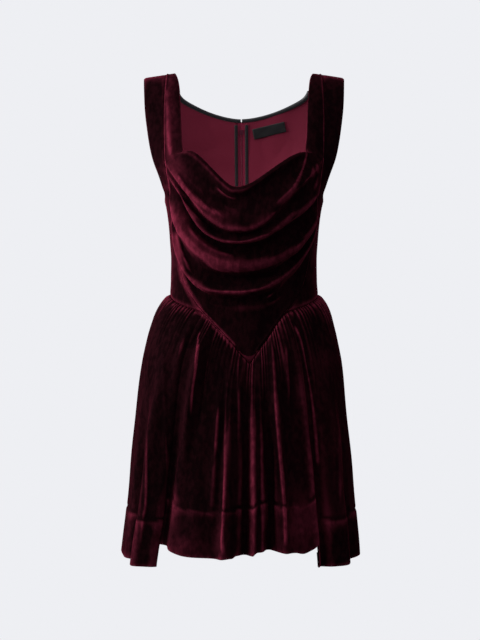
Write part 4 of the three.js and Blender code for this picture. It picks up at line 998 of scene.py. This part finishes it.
def build_skirt(name, start, stop, gathers, hem_at, columns, rows, replaced):
    inset = -math.degrees(SEWN_LAP / 2 / skirt_at["front"](MEAN_HEM))
    across = np.linspace(0, 1, columns)[None, :]
    hem_angle = mix(start + inset, stop - inset, across)
    seam_drop = waist_drop(np.radians(waist_angle(hem_angle))) - SEWN_LAP / 2
    hem_drop = hem_at(np.abs(hem_angle)) - hem_rise_at(hem_angle + HEM_TURN)
    level = np.linspace(0, 1, rows)[:, None] ** 1.15
    drop = mix(seam_drop, hem_drop, level)
    below = drop - seam_drop
    grid = skirt_point(hem_angle + 0 * level, drop)
    wave = gather_wave(across + 0 * level, below, gathers, len(name) + gathers)
    normals = grid_normals(grid)
    flat = grid.reshape(-1, 3)
    moved = wave.reshape(-1) + creased(flat, SKIRT_CREASES) * smooth_step(0, 40, -flat[:, 1])
    moved += ripple("skirt", flat)
    band = hem_drop - HEM_BAND_DEPTH + 1.2 * np.sin(hem_angle * 0.35)
    moved -= groove("hem_band", drop - band).reshape(-1)
    swell = HEM_BAND_SWELL["height"] * smooth_step(0, HEM_BAND_SWELL["rise"], drop - band)
    moved += (swell * np.exp(-np.clip(drop - band, 0, None) / HEM_BAND_SWELL["length"])).reshape(-1)
    moved -= groove("skirt_waist", below).reshape(-1)
    for column in (0, -1):
        moved -= groove("skirt_seam", distance_to(flat, grid[:, column]))
    points = (flat + normals.reshape(-1, 3) * moved[:, None]).reshape(grid.shape)
    points = turned_in(points, "bottom", 6)
    piece = grid_cloth(f"velvet_{name}", points, VELVET, SKIRT_LOOK, "velvet", replaced)


# Things that repeat along a line
REPEAT_INPUTS = {
    "Geometry": "Geometry", "Spacing": "Float", "Length": "Float", "Width": "Float", "Height": "Float",
    "Unevenness": "Float", "Seed": "Int", "Material": "Material",
}
REPEAT_NODES = {
    "given": "NodeGroupInput", "out": "NodeGroupOutput", "line": "GeometryNodeMeshToCurve",
    "spaced": "GeometryNodeResampleCurve", "bead": "GeometryNodeMeshUVSphere", "size": "ShaderNodeCombineXYZ",
    "shaped": "GeometryNodeTransform", "turn": "FunctionNodeAxesToRotation",
    "up": "GeometryNodeInputNamedAttribute", "tangent": "GeometryNodeInputTangent",
    "spread": "FunctionNodeRandomValue", "low": "ShaderNodeMath", "placed": "GeometryNodeInstanceOnPoints",
    "real": "GeometryNodeRealizeInstances", "painted": "GeometryNodeSetMaterial",
}
# Each link: a node and its output, then a node and its input
REPEAT_LINKS = [
    ("given", "Length", "size", "X"), ("given", "Width", "size", "Y"), ("given", "Height", "size", "Z"),
    ("given", "Geometry", "line", "Mesh"), ("line", "Curve", "spaced", "Curve"),
    ("given", "Spacing", "spaced", "Length"), ("bead", "Mesh", "shaped", "Geometry"),
    ("size", 0, "shaped", "Scale"), ("tangent", 0, "turn", "Primary Axis"),
    ("up", "Attribute", "turn", "Secondary Axis"), ("given", "Unevenness", "low", 1),
    ("low", 0, "spread", 2), ("given", "Seed", "spread", "Seed"), ("spaced", "Curve", "placed", "Points"),
    ("shaped", "Geometry", "placed", "Instance"), ("turn", "Rotation", "placed", "Rotation"),
    ("spread", 1, "placed", "Scale"), ("placed", "Instances", "real", "Geometry"),
    ("real", "Geometry", "painted", "Geometry"), ("given", "Material", "painted", "Material"),
    ("painted", "Geometry", "out", "Geometry"),
]


def repeat_tree():
    """Beads at even steps along a line, each turned to it and a little uneven in size."""
    tree = bpy.data.node_groups.new("repeat_along", "GeometryNodeTree")
    for name, kind in REPEAT_INPUTS.items():
        tree.interface.new_socket(name, in_out="INPUT", socket_type="NodeSocket" + kind)
    tree.interface.new_socket("Geometry", in_out="OUTPUT", socket_type="NodeSocketGeometry")
    made = {name: tree.nodes.new(kind) for name, kind in REPEAT_NODES.items()}
    made["spaced"].mode = "LENGTH"
    made["low"].operation = "SUBTRACT"
    made["up"].data_type = "FLOAT_VECTOR"
    made["turn"].primary_axis, made["turn"].secondary_axis = "X", "Z"
    for node, values in (("bead", {"Segments": 8, "Rings": 5, "Radius": 0.5}), ("up", {"Name": "up"}),
                         ("low", {0: 1}), ("spread", {3: 1})):
        feed_all(tree.links, made[node], values)
    for start, output, end, into in REPEAT_LINKS:
        tree.links.new(made[start].outputs[output], made[end].inputs[into])
    return tree


REPEAT = repeat_tree()
# Spacing, length, width and height of one stitch or tooth
STITCH = (2.6, 2.0, 0.45, 0.4)
LABEL_STITCH = (2.2, 1.7, 0.5, 0.4)
TOOTH = (1.15, 0.75, 2.3, 1.0)


def repeated(name, lines, ups, spacing, length, width, height, material, slot, seed, unevenness=0.12):
    """Beads along lines of points: stitches or zip teeth."""
    points, edges, normals = [], [], []
    for line, up in zip(lines, ups):
        first = len(points)
        points += (line * MM).tolist()
        normals += up.tolist()
        edges += [(first + i, first + i + 1) for i in range(len(line) - 1)]
    mesh = bpy.data.meshes.new(name)
    mesh.from_pydata(points, edges, [])
    attribute = mesh.attributes.new("up", "FLOAT_VECTOR", "POINT")
    attribute.data.foreach_set("vector", np.array(normals, np.float32).ravel())
    carrier = bpy.data.objects.new(name + "_line", mesh)
    bpy.context.scene.collection.objects.link(carrier)
    modifier = carrier.modifiers.new("repeat", "NODES")
    modifier.node_group = REPEAT
    values = {"Spacing": spacing * MM, "Length": length * MM, "Width": width * MM, "Height": height * MM,
              "Unevenness": unevenness, "Seed": seed, "Material": material}
    for item in REPEAT.interface.items_tree:
        if item.in_out == "INPUT" and item.name in values:
            modifier[item.identifier] = values[item.name]
    carrier.update_tag()
    shown = carrier.evaluated_get(bpy.context.evaluated_depsgraph_get())
    plain = bpy.data.meshes.new_from_object(shown)
    plain.polygons.foreach_set("use_smooth", [True] * len(plain.polygons))
    bpy.data.objects.remove(carrier)
    plain.name = name
    piece = bpy.data.objects.new(name, plain)
    bpy.context.scene.collection.objects.link(piece)
    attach(piece, BODY)
    return piece


def back_line(side, distance, top, first_drop, last_drop, count=160):
    drop = np.linspace(first_drop, last_drop, count)
    angle = back_angle(np.zeros(count), drop, side, np.maximum(distance, zip_half_gap(drop)))
    normal = body_normal(angle, drop, 1)
    return body_point(angle, drop, 1) + normal * top, -normal


def build_teeth():
    lines, ups = [], []
    for side in (-1, 1):
        line, up = back_line(side, 0.55, UNDER_PANEL - 1.0, 92, 364)
        lines.append(line + (np.array([0, 0, 0.35]) if side > 0 else 0))
        ups.append(up)
    repeated("zip_teeth", lines, ups, *TOOTH, TEETH_LOOK, "zip_tape", 1, 0.02)


def build_zip_stitches():
    lines, ups = [], []
    for side in (-1, 1):
        for distance in (ZIP_EDGE_BINDING["inner"] + 0.9, ZIP_EDGE_BINDING["outer"] - 0.9):
            line, up = back_line(side, distance, UNDER_LINING - BINDING - 0.6, 78, 363)
            lines.append(line)
            ups.append(up)
    repeated("zip_binding_stitches", lines, ups, *STITCH, THREAD_LOOK, "binding", 2)


def build_neck_stitches():
    along = np.linspace(0.01, 0.93, 120)
    outside, inside = neck_binding_faces(along)
    lines, ups = [], []
    for side in (-1, 1):
        here, beyond, normal = neck_edge(side, along)
        depth = -NECK_BINDING_DEPTH + 1.4
        for way, level in ((-1, inside - BINDING * 0.05), (1, outside)):
            lines.append(here + beyond * depth + normal * level[:, None])
            ups.append(way * normal)
    repeated("neck_binding_stitches", lines, ups, *STITCH, THREAD_LOOK, "binding", 3)


def label_points(along, up):
    """Points of the label on the back's face, with the way inward."""
    tilt = math.radians(LABEL["tilt"])
    x = LABEL["x"] + along * math.cos(tilt) - up * math.sin(tilt)
    drop = LABEL["drop"] - along * math.sin(tilt) - up * math.cos(tilt)
    angle = math.pi - angle_at_x(x, drop)
    normal = body_normal(angle, drop, 1)
    return body_point(angle, drop, 1), -normal


def build_label():
    along = (np.linspace(0, 1, 60)[None, :] - 0.5) * LABEL["width"]
    up = (0.5 - np.linspace(0, 1, 20)[:, None]) * LABEL["height"]
    along, up = np.broadcast_arrays(along, up)
    edge = np.minimum(LABEL["width"] / 2 - np.abs(along), LABEL["height"] / 2 - np.abs(up))
    lift = -0.35 * smooth_step(0, 1.2, edge) - 0.25 * np.sin(along * 0.16) * np.cos(up * 0.3)
    points, inward = label_points(along, up)
    grid = points + inward * (-UNDER_LINING + 1.5 - lift[..., None])
    piece = grid_cloth("label_woven", grid[:, ::-1], -LABEL["thickness"], LABEL_LOOK, "label", ["label"])
    lines, ups = [], []
    for end in (-1, 1):
        up_line = np.linspace(-0.42, 0.42, 20) * LABEL["height"]
        along_line = np.full(20, end * (LABEL["width"] / 2 - 1.6))
        spot, inward = label_points(along_line, up_line)
        lines.append(spot + inward * (-UNDER_LINING + 2.6))
        ups.append(inward)
    repeated("label_stitches", lines, ups, *LABEL_STITCH, THREAD_LOOK, "label", 4)


# Lights, floor and camera
PALE = (0.855, 0.863, 0.896)
AMBIENT = {"colour": (0.9, 0.93, 1.0), "strength": 0.24}
FLOOR_LEVEL = -1.36
# Each light: where it stands, where it aims, its size in metres and its power in watts
LIGHTS = {
    "key_left": ((-2.4, -0.55, 0.3), (0, 0, -0.4), (0.9, 1.6), 70),
    "rim_left": ((-1.7, 0.5, 0.1), (0, 0, -0.45), (0.6, 1.6), 22),
    "rim_right": ((1.9, 0.3, 0.1), (0, 0, -0.45), (0.4, 1.4), 0.7),
    "fill": ((1.0, -1.7, 1.4), (0, 0, -0.3), (1.0, 1.0), 7),
    "above": ((-0.2, -0.9, 1.7), (0, 0, -0.1), (1.4, 0.8), 14),
}


def add_light(name, place, aim, size, power):
    data = bpy.data.lights.new(name, "AREA")
    data.shape = "RECTANGLE"
    data.size, data.size_y = size
    data.energy = power
    light = bpy.data.objects.new(name, data)
    bpy.context.scene.collection.objects.link(light)
    light.location = place
    light.rotation_euler = (Vector(aim) - Vector(place)).to_track_quat("-Z", "Y").to_euler()


def build_world():
    """The pale backdrop for the camera, and a faint even light for everything else."""
    world = bpy.data.worlds.new("studio")
    bpy.context.scene.world = world
    world.use_nodes = True
    nodes, links = world.node_tree.nodes, world.node_tree.links
    seen = nodes["Background"]
    seen.inputs["Color"].default_value = (*PALE, 1)
    ambient = nodes.new("ShaderNodeBackground")
    ambient.inputs["Color"].default_value = (*AMBIENT["colour"], 1)
    ambient.inputs["Strength"].default_value = AMBIENT["strength"]
    path = nodes.new("ShaderNodeLightPath")
    both = nodes.new("ShaderNodeMixShader")
    links.new(path.outputs["Is Camera Ray"], both.inputs[0])
    links.new(ambient.outputs[0], both.inputs[1])
    links.new(seen.outputs[0], both.inputs[2])
    links.new(both.outputs[0], nodes["World Output"].inputs["Surface"])


def build_floor():
    bpy.ops.mesh.primitive_plane_add(size=40, location=(0, 0, FLOOR_LEVEL))
    floor = bpy.context.object
    floor.name = "pale_floor"
    material = bpy.data.materials.new("pale_floor")
    _, links, shader = node_tree(material)
    feed_all(links, shader, {
        "Base Color": (0, 0, 0, 1), "Specular IOR Level": 0, "Emission Color": (*PALE, 1),
        "Emission Strength": 1})
    floor.data.materials.append(material)
    floor.visible_diffuse = False
    floor.visible_glossy = False


def build_studio():
    build_world()
    build_floor()
    for name, light in LIGHTS.items():
        add_light(name, *light)
    bpy.context.scene.view_settings.view_transform = "Standard"


def build_camera():
    data = bpy.data.cameras.new("photo_view")
    data.lens = 36 * PHOTO["distance"] / (640 * PHOTO["scale"])
    camera = bpy.data.objects.new("photo_view", data)
    bpy.context.scene.collection.objects.link(camera)
    camera.location = (PHOTO["x"] * MM, -PHOTO["distance"] * MM, -PHOTO["drop"] * MM)
    camera.rotation_euler = (math.pi / 2, 0, 0)
    bpy.context.scene.camera = camera


def finish_metal():
    """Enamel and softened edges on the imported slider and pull."""
    for node in ("zip_slider", "zip_pull"):
        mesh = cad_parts[node].data
        mesh.materials.clear()
        mesh.materials.append(ENAMEL_LOOK)
        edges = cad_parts[node].modifiers.new("soft_edges", "BEVEL")
        edges.width = 0.2 * MM
        edges.segments = 2
        edges.limit_method = "ANGLE"


def build_bodice():
    build_cowl()
    for name, side in (("left", -1), ("right", 1)):
        build_side_front(name, side)
        build_back(name, side)
        build_lining(name, side)
        build_zip_tape(name, side)
        build_zip_binding(name, side)
        build_neck_binding(name, side)


def build_skirts():
    corner = FRONT_PANEL["hem"]
    build_skirt("skirt_front", -corner, corner, GATHERS["front"], front_hem_at, 300, 110,
                ["skirt_front", "hem_front"])
    build_skirt("skirt_back_left", CENTRE_BACK - 360, -corner, GATHERS["back"], back_hem_at, 320, 110,
                ["skirt_back_left", "hem_back_left"])
    build_skirt("skirt_back_right", corner, CENTRE_BACK, GATHERS["back"], back_hem_at, 320, 110,
                ["skirt_back_right", "hem_back_right"])


build_camera()
build_studio()
build_bodice()
build_skirts()
build_teeth()
build_zip_stitches()
build_neck_stitches()
build_label()
finish_metal()
